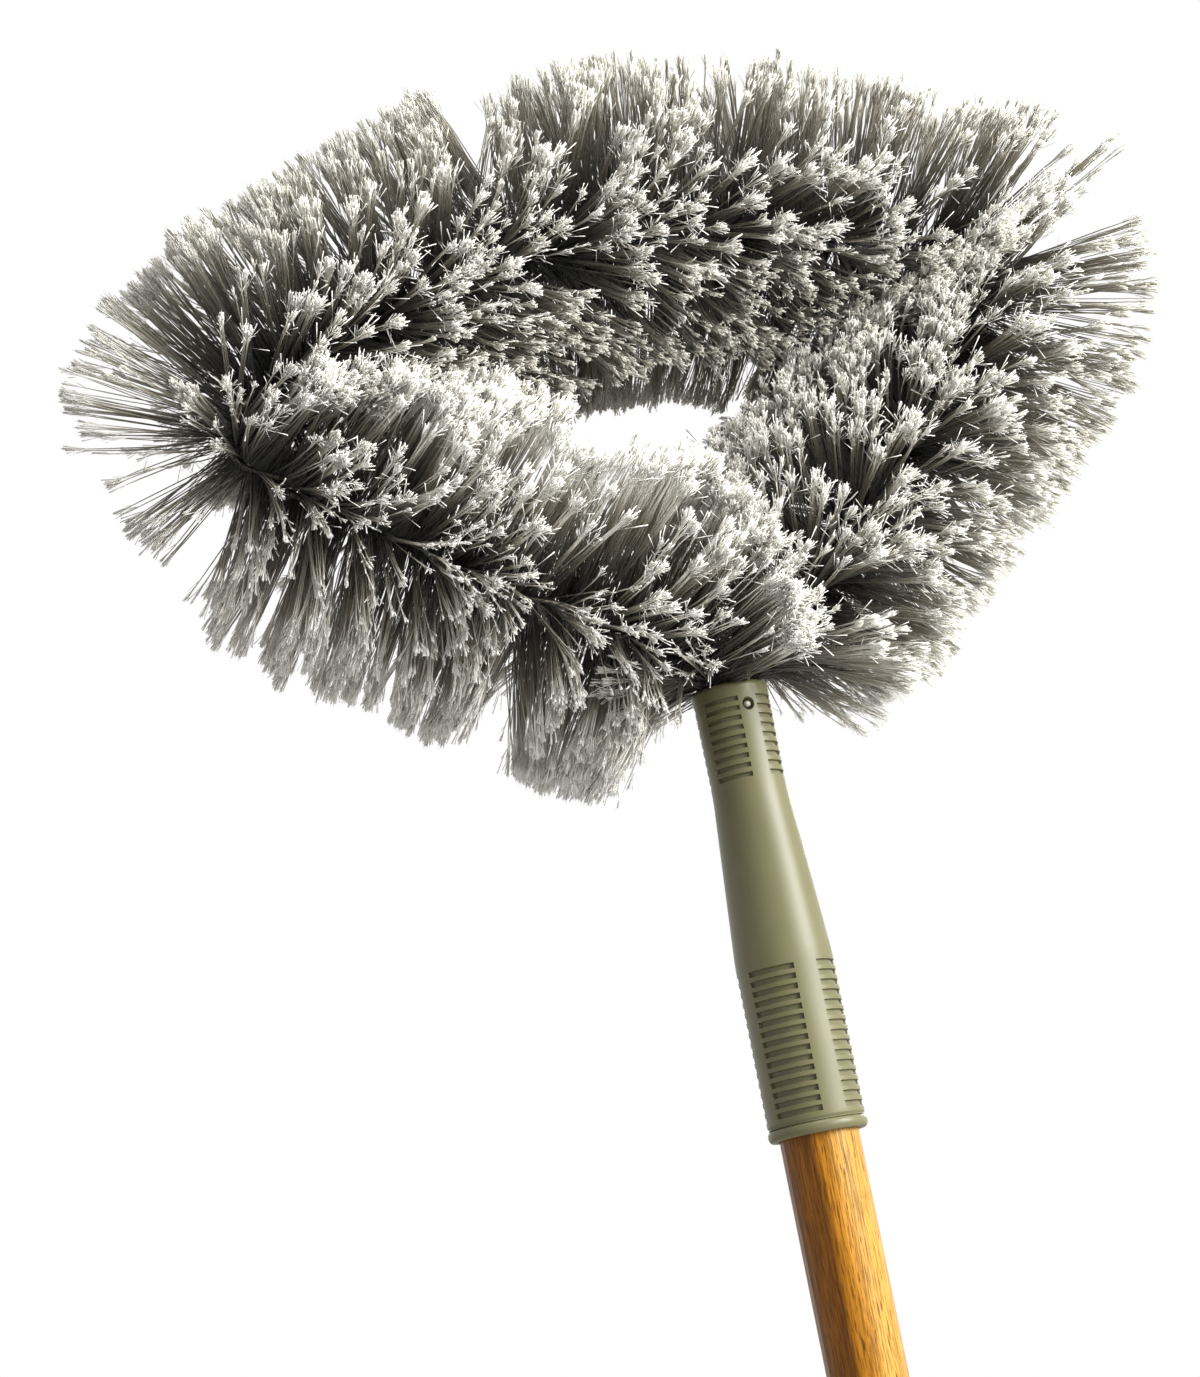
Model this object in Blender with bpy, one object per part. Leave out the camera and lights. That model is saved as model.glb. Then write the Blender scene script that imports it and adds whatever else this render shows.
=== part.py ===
"""Ceiling fan brush: a bristle loop on a twisted wire core, a moulded grip socket and a wooden pole.

Metres, +Z up along the pole. The origin is the middle of the flat at the pole's lower end.
The loop lies in the XZ plane. Everything above the pole hangs on one empty, head_slide, which sits
at the socket's mouth.
"""
import math

import bmesh
import bpy
import numpy as np

# Clearance between pieces that touch on the real object
CLEARANCE = 0.0003

# Steps at which curves are drawn and read
CORE_STEP = 0.0005
BEND_SPAN = 0.002
STRAND_STEP = 0.0005

# Wooden pole, with a threaded tenon at its upper end
POLE_LENGTH = 1.200
POLE_RADIUS = 0.012
POLE_END_FLAT = 0.008
POLE_EDGE = 0.0008
POLE_COLUMNS = 24
TENON_LENGTH = 0.026
THREAD_MAJOR = 0.0095
THREAD_DEPTH = 0.0012
THREAD_PITCH = 0.00508
THREAD_ROWS_A_TURN = 5
THREAD_RUNOUT = 0.002

# Grip socket, heights measured up from its mouth
SOCKET_LENGTH = 0.1375
GRIP_RADIUS = 0.0147
NECK_RADIUS = 0.0113
TOP_RADIUS = 0.0116
TAPER_START = 0.0535
TAPER_END = 0.1045
TAPER_EASE = 0.003
TOP_FILLET = 0.0016
BEAD_HEIGHT = 0.0036
BEAD_PROUD = 0.0003
BEAD_ROUNDING = 0.0012
BEAD_GROOVE = 0.0004
MOUTH_DEPTH = 0.010
BORE_SPARE = 0.004
CAVITY_RADIUS = 0.0091
CAP_THICKNESS = 0.0033
CAP_HOLE_RADIUS = 0.0083

# Grip slots: four panels of them round the socket, parted by smooth strips
STRIP_ANGLE = math.radians(30.0)
STRIP_FACETS = 2
PANEL_FACETS = 5
SLOT_DEPTH = 0.0009
LOWER_SLOTS = 15
LOWER_SLOT_FIRST = 0.0070
LOWER_SLOT_PITCH = 0.00304
LOWER_SLOT_HEIGHT = 0.0017
UPPER_SLOTS = 9
UPPER_SLOT_FIRST = 0.1087
UPPER_SLOT_PITCH = 0.00292
UPPER_SLOT_HEIGHT = 0.0014

# Cross pin, below the socket's top
PIN_RADIUS = 0.00125
PIN_DROP = 0.0075
PIN_RECESS_RADIUS = 0.00185
PIN_RECESS_DEPTH = 0.0010
PIN_DOME = 0.0004

# Twisted wire core
WIRE_RADIUS = 0.0010
BAND_THICKNESS = 0.0006
LAY_LENGTH = 0.044
BAND_START_ANGLE = math.radians(-44.0)
WIRE_POINTS_A_TURN = 8
FOOT_BEND = 0.0020
FOOT_LENGTH = 0.0010

# Plug that the two stems of the core run through
PLUG_LENGTH = 0.030
PLUG_EDGE = 0.0006
STEM_WEB = 0.0007

# Loop, places measured from the middle of the socket's top
LEFT_CORNER_X = -0.1304
LEFT_CORNER_Z = 0.0902
RIGHT_CORNER_X = 0.0990
RIGHT_CORNER_Z = 0.1200
CORNER_RADIUS = 0.011
CROWN_RADIUS = 0.269
LEFT_LEG_RADIUS = 1.02
RIGHT_LEG_RADIUS = 0.377
EXIT_RADIUS = 0.012

# Bristles
BRISTLE_REACH = 0.057
CORNER_REACH = 0.062
BRISTLE_START = 0.007
SLICES = 16
STATIONS_A_SLICE = 12
BAND_HALF_WIDTH = 0.004
ROOT_SHARE = 0.55
TIP_HALF_LEAST = 0.00025
TIP_HALF_MOST = 0.00125
REACH_VARIATION = 0.05
CORNER_FAN = math.radians(22.0)
SHARE_OF_FREE_WAY = 0.75
SHORTEST_STRAND = 0.0025
SOCKET_KEEP_OFF = 0.0025
WINDOW_LOW_X = -0.0325
WINDOW_HIGH_X = 0.0175
WINDOW_LOW_Z = 0.0763
WINDOW_HIGH_Z = 0.0913
WINDOW_KEEP_OFF = 0.0015

# Worked out from the sizes above
TENON_ROOT = THREAD_MAJOR - THREAD_DEPTH
SOCKET_PLACE = POLE_LENGTH - MOUTH_DEPTH + CLEARANCE
MOUTH_RADIUS = POLE_RADIUS + CLEARANCE
THREAD_BORE = THREAD_MAJOR + CLEARANCE
PANEL_ANGLE = math.radians(90.0) - STRIP_ANGLE
WIRE_OFFSET = BAND_THICKNESS / 2 + CLEARANCE + WIRE_RADIUS
STEM_BORE = WIRE_OFFSET + WIRE_RADIUS + CLEARANCE
PIN_HOLE = PIN_RADIUS + CLEARANCE
STEM_X = PIN_HOLE + STEM_WEB + STEM_BORE
PLUG_RADIUS = CAVITY_RADIUS - CLEARANCE
PLUG_TOP = -CAP_THICKNESS - CLEARANCE
STEM_DEPTH = -PLUG_TOP + PLUG_LENGTH + CLEARANCE


def clear_scene():
    """Take every object out of the open file."""
    for thing in list(bpy.data.objects):
        bpy.data.objects.remove(thing, do_unlink=True)


def make_material(name, colour, roughness, metallic=0.0):
    """A Principled material in one plain colour."""
    material = bpy.data.materials.new(name)
    material.use_nodes = True
    shader = material.node_tree.nodes["Principled BSDF"]
    shader.inputs["Base Color"].default_value = (*colour, 1.0)
    shader.inputs["Roughness"].default_value = roughness
    shader.inputs["Metallic"].default_value = metallic
    material.diffuse_color = (*colour, 1.0)
    return material


def link(thing, material=None, parent=None):
    """Put an object in the scene, under its empty and with its material."""
    bpy.context.scene.collection.objects.link(thing)
    thing.parent = parent
    if material is not None:
        thing.data.materials.append(material)
    return thing


def mesh_object(name, points, faces, material, parent=None, sharp_angle=35.0):
    """A closed mesh from points and faces, its faces turned outwards and shaded smooth."""
    mesh = bpy.data.meshes.new(name)
    mesh.from_pydata([tuple(point) for point in points], [], faces)
    work = bmesh.new()
    work.from_mesh(mesh)
    bmesh.ops.recalc_face_normals(work, faces=work.faces)
    work.to_mesh(mesh)
    work.free()
    mesh.shade_smooth()
    mesh.set_sharp_from_angle(angle=math.radians(sharp_angle))
    return link(bpy.data.objects.new(name, mesh), material, parent)


def cutter(name, radius, depth, place, turn, sides, parent):
    """A cylinder that only cuts other pieces."""
    work = bmesh.new()
    bmesh.ops.create_cone(work, cap_ends=True, segments=sides, radius1=radius, radius2=radius, depth=depth)
    mesh = bpy.data.meshes.new(name)
    work.to_mesh(mesh)
    work.free()
    tool = link(bpy.data.objects.new(name, mesh), None, parent)
    tool.location = place
    tool.rotation_euler = turn
    tool.hide_render = True
    tool.display_type = "WIRE"
    return tool


def cut(piece, tool):
    """Cut one piece with a cutter."""
    modifier = piece.modifiers.new(tool.name, "BOOLEAN")
    modifier.operation = "DIFFERENCE"
    modifier.solver = "EXACT"
    modifier.object = tool


def ring(radius, height, angles):
    """Points on a level circle round the Z axis."""
    return [(radius * math.cos(a), radius * math.sin(a), height) for a in angles]


def join_rings(faces, first, second, count):
    """Faces between two rings of points."""
    for i in range(count):
        j = (i + 1) % count
        faces.append((first + i, first + j, second + j, second + i))


def turned(name, profile, columns, material, parent=None):
    """A turned solid: profile points run up the outside as (radius, height), with flat ends."""
    angles = [2 * math.pi * i / columns for i in range(columns)]
    points = []
    faces = []
    for radius, height in profile:
        points += ring(radius, height, angles)
    for level in range(len(profile) - 1):
        join_rings(faces, level * columns, (level + 1) * columns, columns)
    faces.append(tuple(range(columns)))
    faces.append(tuple(range((len(profile) - 1) * columns, len(profile) * columns)))
    return mesh_object(name, points, faces, material, parent)


def thread_share(turns):
    """How far the thread stands out, from 0 at its root to 1 at its crest, along one pitch."""
    place = turns % 1.0
    return min(1.0, max(0.0, 2.2 - abs(place - 0.5) * 5.0))


def pole_points():
    """Radii and heights of the pole, as a function of the angle round it."""
    rows = []
    dome = POLE_RADIUS - POLE_END_FLAT
    for i in range(4):
        a = math.radians(30.0 * i)
        rows.append((POLE_END_FLAT + dome * math.sin(a), dome * (1 - math.cos(a)), False))
    rows.append((POLE_RADIUS, POLE_LENGTH - POLE_EDGE, False))
    rows.append((POLE_RADIUS - POLE_EDGE, POLE_LENGTH, False))
    rows.append((TENON_ROOT, POLE_LENGTH, False))
    count = round(TENON_LENGTH / THREAD_PITCH * THREAD_ROWS_A_TURN)
    for i in range(1, count):
        rows.append((TENON_ROOT, POLE_LENGTH + TENON_LENGTH * i / count, True))
    rows.append((TENON_ROOT - THREAD_DEPTH / 2, POLE_LENGTH + TENON_LENGTH, False))
    return rows


def make_pole(material):
    """The pole with its rounded lower end and its threaded tenon, one piece of wood."""
    angles = [2 * math.pi * i / POLE_COLUMNS for i in range(POLE_COLUMNS)]
    points = []
    faces = []
    rows = pole_points()
    for radius, height, threaded in rows:
        for a in angles:
            r = radius
            if threaded:
                low = height - POLE_LENGTH
                fade = min(1.0, low / THREAD_RUNOUT, (TENON_LENGTH - low) / THREAD_RUNOUT)
                r += THREAD_DEPTH * fade * thread_share(low / THREAD_PITCH - a / (2 * math.pi))
            points.append((r * math.cos(a), r * math.sin(a), height))
    for level in range(len(rows) - 1):
        join_rings(faces, level * POLE_COLUMNS, (level + 1) * POLE_COLUMNS, POLE_COLUMNS)
    faces.append(tuple(range(POLE_COLUMNS)))
    faces.append(tuple(range((len(rows) - 1) * POLE_COLUMNS, len(rows) * POLE_COLUMNS)))
    return mesh_object("wood_pole", points, faces, material, sharp_angle=40.0)


def outer_radius(height):
    """Radius of the socket's outside, without its slots, bead and rounded edge."""
    taper = (NECK_RADIUS - GRIP_RADIUS) / (TAPER_END - TAPER_START)
    flare = (TOP_RADIUS - NECK_RADIUS) / (SOCKET_LENGTH - TAPER_END)
    radius = GRIP_RADIUS + taper * eased(height - TAPER_START)
    return radius + (flare - taper) * eased(height - TAPER_END)


def eased(past):
    """How far past a corner a height is, with the corner itself rounded off."""
    if past <= -TAPER_EASE:
        return 0.0
    if past >= TAPER_EASE:
        return past
    return (past + TAPER_EASE) ** 2 / (4 * TAPER_EASE)


def socket_slots():
    """Lower and upper edge of every row of slots."""
    slots = []
    for i in range(LOWER_SLOTS):
        middle = LOWER_SLOT_FIRST + i * LOWER_SLOT_PITCH
        slots.append((middle - LOWER_SLOT_HEIGHT / 2, middle + LOWER_SLOT_HEIGHT / 2))
    for i in range(UPPER_SLOTS):
        middle = UPPER_SLOT_FIRST + i * UPPER_SLOT_PITCH
        slots.append((middle - UPPER_SLOT_HEIGHT / 2, middle + UPPER_SLOT_HEIGHT / 2))
    return slots


def socket_columns():
    """Angles of the socket's columns of faces, and which column is part of a slotted panel."""
    angles = []
    slotted = []
    for quarter in range(4):
        start = math.radians(90.0 * quarter) - STRIP_ANGLE / 2
        for i in range(STRIP_FACETS):
            angles.append(start + STRIP_ANGLE * i / STRIP_FACETS)
            slotted.append(False)
        for i in range(PANEL_FACETS):
            angles.append(start + STRIP_ANGLE + PANEL_ANGLE * i / PANEL_FACETS)
            slotted.append(True)
    return angles, slotted


def socket_levels():
    """Every ring of the socket's outside as (radius, height), from the mouth to the top."""
    bead_radius = GRIP_RADIUS + BEAD_PROUD
    levels = []
    bulge = BEAD_HEIGHT / 2
    for i in range(5):
        a = math.radians(-90.0 + 45.0 * i)
        radius = bead_radius - BEAD_ROUNDING * (1 - math.cos(a))
        levels.append((radius, bulge + bulge * math.sin(a)))
    levels.append((GRIP_RADIUS - BEAD_GROOVE, BEAD_HEIGHT + BEAD_GROOVE))
    levels.append((GRIP_RADIUS, BEAD_HEIGHT + 2 * BEAD_GROOVE))
    heights = []
    for corner in (TAPER_START, TAPER_END):
        heights += [corner - TAPER_EASE, corner, corner + TAPER_EASE]
    for low, high in socket_slots():
        heights += [low, high]
    levels += [(outer_radius(height), height) for height in sorted(heights)]
    for i in range(4):
        a = math.radians(30.0 * i)
        radius = TOP_RADIUS - TOP_FILLET + TOP_FILLET * math.cos(a)
        levels.append((radius, SOCKET_LENGTH - TOP_FILLET + TOP_FILLET * math.sin(a)))
    return levels


def socket_bore():
    """The socket's inside as (radius, height), from its top down to its mouth."""
    ceiling = SOCKET_LENGTH - CAP_THICKNESS
    thread_top = MOUTH_DEPTH + TENON_LENGTH + BORE_SPARE
    return [
        (CAP_HOLE_RADIUS, SOCKET_LENGTH),
        (CAP_HOLE_RADIUS, ceiling),
        (CAVITY_RADIUS, ceiling),
        (CAVITY_RADIUS, thread_top + (THREAD_BORE - CAVITY_RADIUS)),
        (THREAD_BORE, thread_top),
        (THREAD_BORE, MOUTH_DEPTH),
        (MOUTH_RADIUS, MOUTH_DEPTH),
        (MOUTH_RADIUS, 0.0),
    ]


def make_socket(material, parent):
    """The moulded socket: tapered shell with slotted grip panels, bead, bore and cap."""
    angles, slotted = socket_columns()
    columns = len(angles)
    levels = socket_levels()
    bore = socket_bore()
    points = []
    faces = []
    for radius, height in levels + bore:
        points += ring(radius, height, angles)
    slot_at = {round(low, 7): high for low, high in socket_slots()}
    for level in range(len(levels) - 1):
        height = round(levels[level][1], 7)
        for i in range(columns):
            j = (i + 1) % columns
            low_a = level * columns + i
            low_b = level * columns + j
            if height in slot_at and slotted[i]:
                floor = len(points)
                for rim in (level, level + 1):
                    radius = levels[rim][0] - SLOT_DEPTH
                    points += ring(radius, levels[rim][1], [angles[i], angles[j]])
                faces.append((floor, floor + 1, floor + 3, floor + 2))
                faces.append((low_a, low_b, floor + 1, floor))
                faces.append((floor + 2, floor + 3, low_b + columns, low_a + columns))
                if not slotted[i - 1]:
                    faces.append((low_a, floor, floor + 2, low_a + columns))
                if not slotted[j]:
                    faces.append((floor + 1, low_b, low_b + columns, floor + 3))
            else:
                faces.append((low_a, low_b, low_b + columns, low_a + columns))
    for level in range(len(levels) - 1, len(levels) + len(bore) - 1):
        join_rings(faces, level * columns, (level + 1) * columns, columns)
    join_rings(faces, (len(levels) + len(bore) - 1) * columns, 0, columns)
    socket = mesh_object("grip_socket", points, faces, material, parent, sharp_angle=28.0)
    merge_points(socket.data)
    pin_height = SOCKET_LENGTH - PIN_DROP
    across = (math.radians(90.0), 0.0, 0.0)
    hole = cutter("pin_hole_cutter", PIN_HOLE, 4 * TOP_RADIUS, (0, 0, pin_height), across, 16, parent)
    cut(socket, hole)
    reach = outer_radius(pin_height) - PIN_RECESS_DEPTH
    for side in (-1, 1):
        place = (0, side * (reach + TOP_RADIUS / 2), pin_height)
        name = "pin_recess_cutter_front" if side < 0 else "pin_recess_cutter_back"
        cut(socket, cutter(name, PIN_RECESS_RADIUS, TOP_RADIUS, place, across, 20, parent))
    return socket


def merge_points(mesh):
    """Join points that lie in one place, so that the slots' floors close up."""
    work = bmesh.new()
    work.from_mesh(mesh)
    bmesh.ops.remove_doubles(work, verts=work.verts, dist=0.00001)
    bmesh.ops.recalc_face_normals(work, faces=work.faces)
    work.to_mesh(mesh)
    work.free()


def make_pin(material, parent):
    """The cross pin, its domed ends at the floors of the two recesses."""
    half = outer_radius(SOCKET_LENGTH - PIN_DROP) - PIN_RECESS_DEPTH
    profile = [
        (PIN_RADIUS * 0.6, -half - PIN_DOME),
        (PIN_RADIUS, -half),
        (PIN_RADIUS, half),
        (PIN_RADIUS * 0.6, half + PIN_DOME),
    ]
    pin = turned("cross_pin", profile, 16, material, parent)
    pin.location = (0, 0, SOCKET_LENGTH - PIN_DROP)
    pin.rotation_euler = (math.radians(90.0), 0, 0)
    return pin


def make_plug(material, parent):
    """The plug in the socket's top, bored for the two stems and for the cross pin."""
    top = SOCKET_LENGTH + PLUG_TOP
    profile = [
        (PLUG_RADIUS - PLUG_EDGE, top - PLUG_LENGTH),
        (PLUG_RADIUS, top - PLUG_LENGTH + PLUG_EDGE),
        (PLUG_RADIUS, top - PLUG_EDGE),
        (PLUG_RADIUS - PLUG_EDGE, top),
    ]
    plug = turned("stem_plug", profile, 28, material, parent)
    for side in (-1, 1):
        place = (side * STEM_X, 0, top - PLUG_LENGTH / 2)
        name = "left_stem_cutter" if side < 0 else "right_stem_cutter"
        cut(plug, cutter(name, STEM_BORE, 2 * PLUG_LENGTH, place, (0, 0, 0), 16, parent))
    across = (math.radians(90.0), 0.0, 0.0)
    place = (0, 0, SOCKET_LENGTH - PIN_DROP)
    cut(plug, cutter("plug_pin_cutter", PIN_HOLE, 4 * PLUG_RADIUS, place, across, 12, parent))
    return plug


def meet(first, first_distance, second, second_distance):
    """The point at these distances from two others, on the right of the way from first to second."""
    way = second - first
    gap = np.hypot(*way)
    along = way / gap
    a = (gap**2 + first_distance**2 - second_distance**2) / (2 * gap)
    h = math.sqrt(max(first_distance**2 - a**2, 0.0))
    return first + along * a + np.array([along[1], -along[0]]) * h


def arc_points(centre, radius, start, end, turn):
    """Points on an arc from start to end, turning left for 1 and right for -1."""
    a = math.atan2(start[1] - centre[1], start[0] - centre[0])
    b = math.atan2(end[1] - centre[1], end[0] - centre[0])
    if turn > 0 and b < a:
        b += 2 * math.pi
    if turn < 0 and b > a:
        b -= 2 * math.pi
    count = max(3, math.ceil(abs(b - a) * radius / CORE_STEP))
    sweep = np.linspace(a, b, count)
    return np.stack([centre[0] + radius * np.cos(sweep), centre[1] + radius * np.sin(sweep)], axis=1)


def core_outline():
    """The core's middle line as a chain of tangent arcs, from the left stem round to the right one.

    The columns are X and the height above the socket's top.
    """
    left = np.array([LEFT_CORNER_X, LEFT_CORNER_Z])
    right = np.array([RIGHT_CORNER_X, RIGHT_CORNER_Z])
    left_exit = np.array([-STEM_X - EXIT_RADIUS, 0.0])
    right_exit = np.array([STEM_X + EXIT_RADIUS, 0.0])
    leg_a = meet(left_exit, LEFT_LEG_RADIUS + EXIT_RADIUS, left, LEFT_LEG_RADIUS - CORNER_RADIUS)
    crown = meet(left, CROWN_RADIUS - CORNER_RADIUS, right, CROWN_RADIUS - CORNER_RADIUS)
    leg_b = meet(right, RIGHT_LEG_RADIUS - CORNER_RADIUS, right_exit, RIGHT_LEG_RADIUS + EXIT_RADIUS)

    def towards(start, end, distance):
        way = end - start
        return start + way / np.hypot(*way) * distance

    joints = [
        np.array([-STEM_X, 0.0]),
        towards(left_exit, leg_a, EXIT_RADIUS),
        towards(left, leg_a, -CORNER_RADIUS),
        towards(left, crown, -CORNER_RADIUS),
        towards(right, crown, -CORNER_RADIUS),
        towards(right, leg_b, -CORNER_RADIUS),
        towards(right_exit, leg_b, EXIT_RADIUS),
        np.array([STEM_X, 0.0]),
    ]
    arcs = [
        (left_exit, EXIT_RADIUS, 1),
        (leg_a, LEFT_LEG_RADIUS, -1),
        (left, CORNER_RADIUS, -1),
        (crown, CROWN_RADIUS, -1),
        (right, CORNER_RADIUS, -1),
        (leg_b, RIGHT_LEG_RADIUS, -1),
        (right_exit, EXIT_RADIUS, 1),
    ]
    lines = [np.array([[-STEM_X, -STEM_DEPTH]])]
    for i, (centre, radius, turn) in enumerate(arcs):
        lines.append(arc_points(centre, radius, joints[i], joints[i + 1], turn)[:-1])
    lines.append(np.array([[STEM_X, 0.0], [STEM_X, -STEM_DEPTH]]))
    return np.concatenate(lines)


class Core:
    """The middle line of the twisted core, read by the length along it."""

    def __init__(self):
        line = core_outline()
        steps = np.hypot(*np.diff(line, axis=0).T)
        length = np.concatenate([[0.0], np.cumsum(steps)])
        self.total = length[-1]
        self.length = length
        self.line = line
        self.half_turns = round(2 * self.total / LAY_LENGTH)

    def stops(self, steps_a_turn):
        """Lengths along the core with even turning between them, closer together where it bends."""
        way = np.unwrap(np.arctan2(*np.diff(self.line, axis=0).T[::-1]))
        bend = np.abs(np.diff(way))
        bend = np.convolve(np.concatenate([[0.0], bend, [0.0]]), np.ones(2), "valid")
        turning = 2 * math.pi * np.diff(self.length) / LAY_LENGTH + bend
        measure = np.concatenate([[0.0], np.cumsum(turning)])
        count = round(measure[-1] / (2 * math.pi) * steps_a_turn)
        return np.interp(np.linspace(0.0, measure[-1], count + 1), measure, self.length)

    def point(self, s):
        """The point at length s, in the socket's frame."""
        x = np.interp(s, self.length, self.line[:, 0])
        z = np.interp(s, self.length, self.line[:, 1])
        return np.array([x, 0.0, z + SOCKET_LENGTH])

    def along(self, s):
        """The core's direction at length s."""
        s = min(max(s, CORE_STEP), self.total - CORE_STEP)
        way = self.point(s + CORE_STEP) - self.point(s - CORE_STEP)
        return way / np.linalg.norm(way)

    def outward(self, s):
        """The direction in the loop's plane that points away from its middle."""
        way = self.along(s)
        return np.array([-way[2], 0.0, way[0]])

    def twist(self, s):
        """The angle of the bristle band round the core."""
        return BAND_START_ANGLE + math.pi * self.half_turns * s / self.total

    def bend(self, s):
        """How tightly the core bends at length s, 1 at the corners and near 0 along the legs."""
        turn = np.cross(self.along(s - BEND_SPAN), self.along(s + BEND_SPAN))
        return min(1.0, np.linalg.norm(turn) / (2 * BEND_SPAN) * CORNER_RADIUS)

    def across(self, s, extra=0.0):
        """The direction of the band's width at length s, turned on by an extra angle."""
        a = self.twist(s) + extra
        return self.outward(s) * math.cos(a) + np.array([0.0, 1.0, 0.0]) * math.sin(a)


def make_wire(name, core, side, material, parent):
    """One of the two wires: a long helix round the core's line, with a bent foot at each end."""
    route = []
    for s in core.stops(WIRE_POINTS_A_TURN):
        route.append(core.point(s) + core.across(s, side * math.pi / 2) * WIRE_OFFSET)
    for end in (0, -1):
        last = route[end]
        lean = math.copysign(1.0, last[1])
        foot = []
        for degrees in (30, 60, 90):
            a = math.radians(degrees)
            sink = FOOT_BEND * math.sin(a)
            foot.append(last + np.array([0.0, lean * FOOT_BEND * (1 - math.cos(a)), -sink]))
        foot.append(foot[-1] + np.array([0.0, lean * FOOT_LENGTH, 0.0]))
        route = foot[::-1] + route if end == 0 else route + foot
    curve = bpy.data.curves.new(name, "CURVE")
    curve.dimensions = "3D"
    curve.bevel_depth = WIRE_RADIUS
    curve.bevel_resolution = 1
    curve.use_fill_caps = True
    spline = curve.splines.new("POLY")
    spline.points.add(len(route) - 1)
    for spot, place in zip(spline.points, route):
        spot.co = (*place, 1.0)
    return link(bpy.data.objects.new(name, curve), material, parent)


def free_way(root, way, line):
    """How far a strand can run before another stretch of the core is nearer than its own root."""
    gap = line - root
    ahead = gap @ way
    square = (gap**2).sum(axis=1)
    fair = (ahead > 0.0) & (square > BEND_SPAN**2)
    if not fair.any():
        return 2 * BRISTLE_REACH
    return float((square[fair] / (2 * ahead[fair])).min())


def strand_way(core, s, side):
    """The direction of a strand: the band's, drawn towards the loop's plane at the corners."""
    lean = -CORNER_FAN * math.sin(2 * core.twist(s)) * core.bend(s)
    return core.across(s, lean) * side


def inward_room(core, s):
    """How far towards the loop's middle a slice may reach before it meets the hand window."""
    middle = core.point(s)
    inward = -core.outward(s)
    corners = [(x, z) for x in (WINDOW_LOW_X, WINDOW_HIGH_X) for z in (WINDOW_LOW_Z, WINDOW_HIGH_Z)]
    reaches = [(np.array([x, 0.0, z + SOCKET_LENGTH]) - middle) @ inward for x, z in corners]
    return middle, inward, min(reaches) - WINDOW_KEEP_OFF


def strand_length(core, s, way, line, room, number):
    """The length of a strand: its reach, cut short by the other legs, the window and the socket."""
    root = core.point(s)
    uneven = REACH_VARIATION * ((number * 0.618034) % 1.0)
    reach = BRISTLE_REACH + (CORNER_REACH - BRISTLE_REACH) * core.bend(s)
    length = min(reach * (1.0 - uneven), SHARE_OF_FREE_WAY * free_way(root, way, line))
    middle, inward, limit = room
    gain = way @ inward
    if gain > 0.01:
        length = min(length, (limit - (root - middle) @ inward) / gain)
    clear = BAND_HALF_WIDTH
    while clear + STRAND_STEP <= length:
        spot = root + way * (clear + STRAND_STEP)
        beside = math.hypot(spot[0], spot[1]) < TOP_RADIUS + SOCKET_KEEP_OFF
        if beside and spot[2] - SOCKET_LENGTH < SOCKET_KEEP_OFF:
            break
        clear += STRAND_STEP
    return clear


def make_slice(name, core, start, end, first_number, line, material, parent):
    """A slice of the bristle band, its strands fused to its two edges."""
    pitch = (end - start) / STATIONS_A_SLICE
    root = pitch * ROOT_SHARE
    room = inward_room(core, (start + end) / 2)
    places = [start]
    for i in range(STATIONS_A_SLICE):
        middle = start + pitch * (i + 0.5)
        places += [middle - root / 2, middle + root / 2]
    places.append(end)
    points = []
    faces = []
    strands = 0
    for s in places:
        middle = core.point(s)
        width = core.across(s) * BAND_HALF_WIDTH
        thick = core.across(s, math.pi / 2) * (BAND_THICKNESS / 2)
        points += [middle + width + thick, middle + width - thick, middle - thick]
        points += [middle - width - thick, middle - width + thick, middle + thick]
    for i in range(len(places) - 1):
        a = 6 * i
        b = a + 6
        for j in (1, 2, 4):
            faces.append((a + j, b + j, b + j + 1, a + j + 1))
        faces.append((a + 5, b + 5, b, a))
        for edge, side in ((0, 1), (3, -1)):
            base = (a + edge, b + edge, b + edge + 1, a + edge + 1)
            if i % 2 == 0:
                faces.append(base)
                continue
            s = (places[i] + places[i + 1]) / 2
            way = strand_way(core, s, side)
            length = strand_length(core, s, way, line, room, first_number + i + edge)
            if length < BAND_HALF_WIDTH + SHORTEST_STRAND:
                faces.append(base)
                continue
            half = TIP_HALF_LEAST + (TIP_HALF_MOST - TIP_HALF_LEAST) * length / BRISTLE_REACH
            tip = core.point(s) + way * length
            along = core.along(s) * half
            thick = np.cross(way, core.along(s)) * half
            crown = len(points)
            points += [tip - along + thick, tip + along + thick, tip + along - thick, tip - along - thick]
            for j in range(4):
                k = (j + 1) % 4
                faces.append((base[j], base[k], crown + k, crown + j))
            faces.append((crown, crown + 1, crown + 2, crown + 3))
            strands += 1
    faces.append(tuple(range(6)))
    faces.append(tuple(range(6 * len(places) - 6, 6 * len(places))))
    return mesh_object(name, points, faces, material, parent, sharp_angle=30.0), strands


def make_bristles(core, material, parent):
    """All the slices of the bristle band, from one exit of the socket round to the other."""
    first = STEM_DEPTH + BRISTLE_START
    last = core.total - first
    line = np.array([core.point(s) for s in np.linspace(0.0, core.total, 700)])
    width = (last - first) / SLICES
    total = 0
    for i in range(SLICES):
        start = first + width * i + CLEARANCE / 2
        end = first + width * (i + 1) - CLEARANCE / 2
        name = f"bristles_{i + 1:02d}"
        strands = make_slice(name, core, start, end, 2 * i * STATIONS_A_SLICE, line, material, parent)[1]
        total += strands
    print("strands in all:", total)


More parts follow.
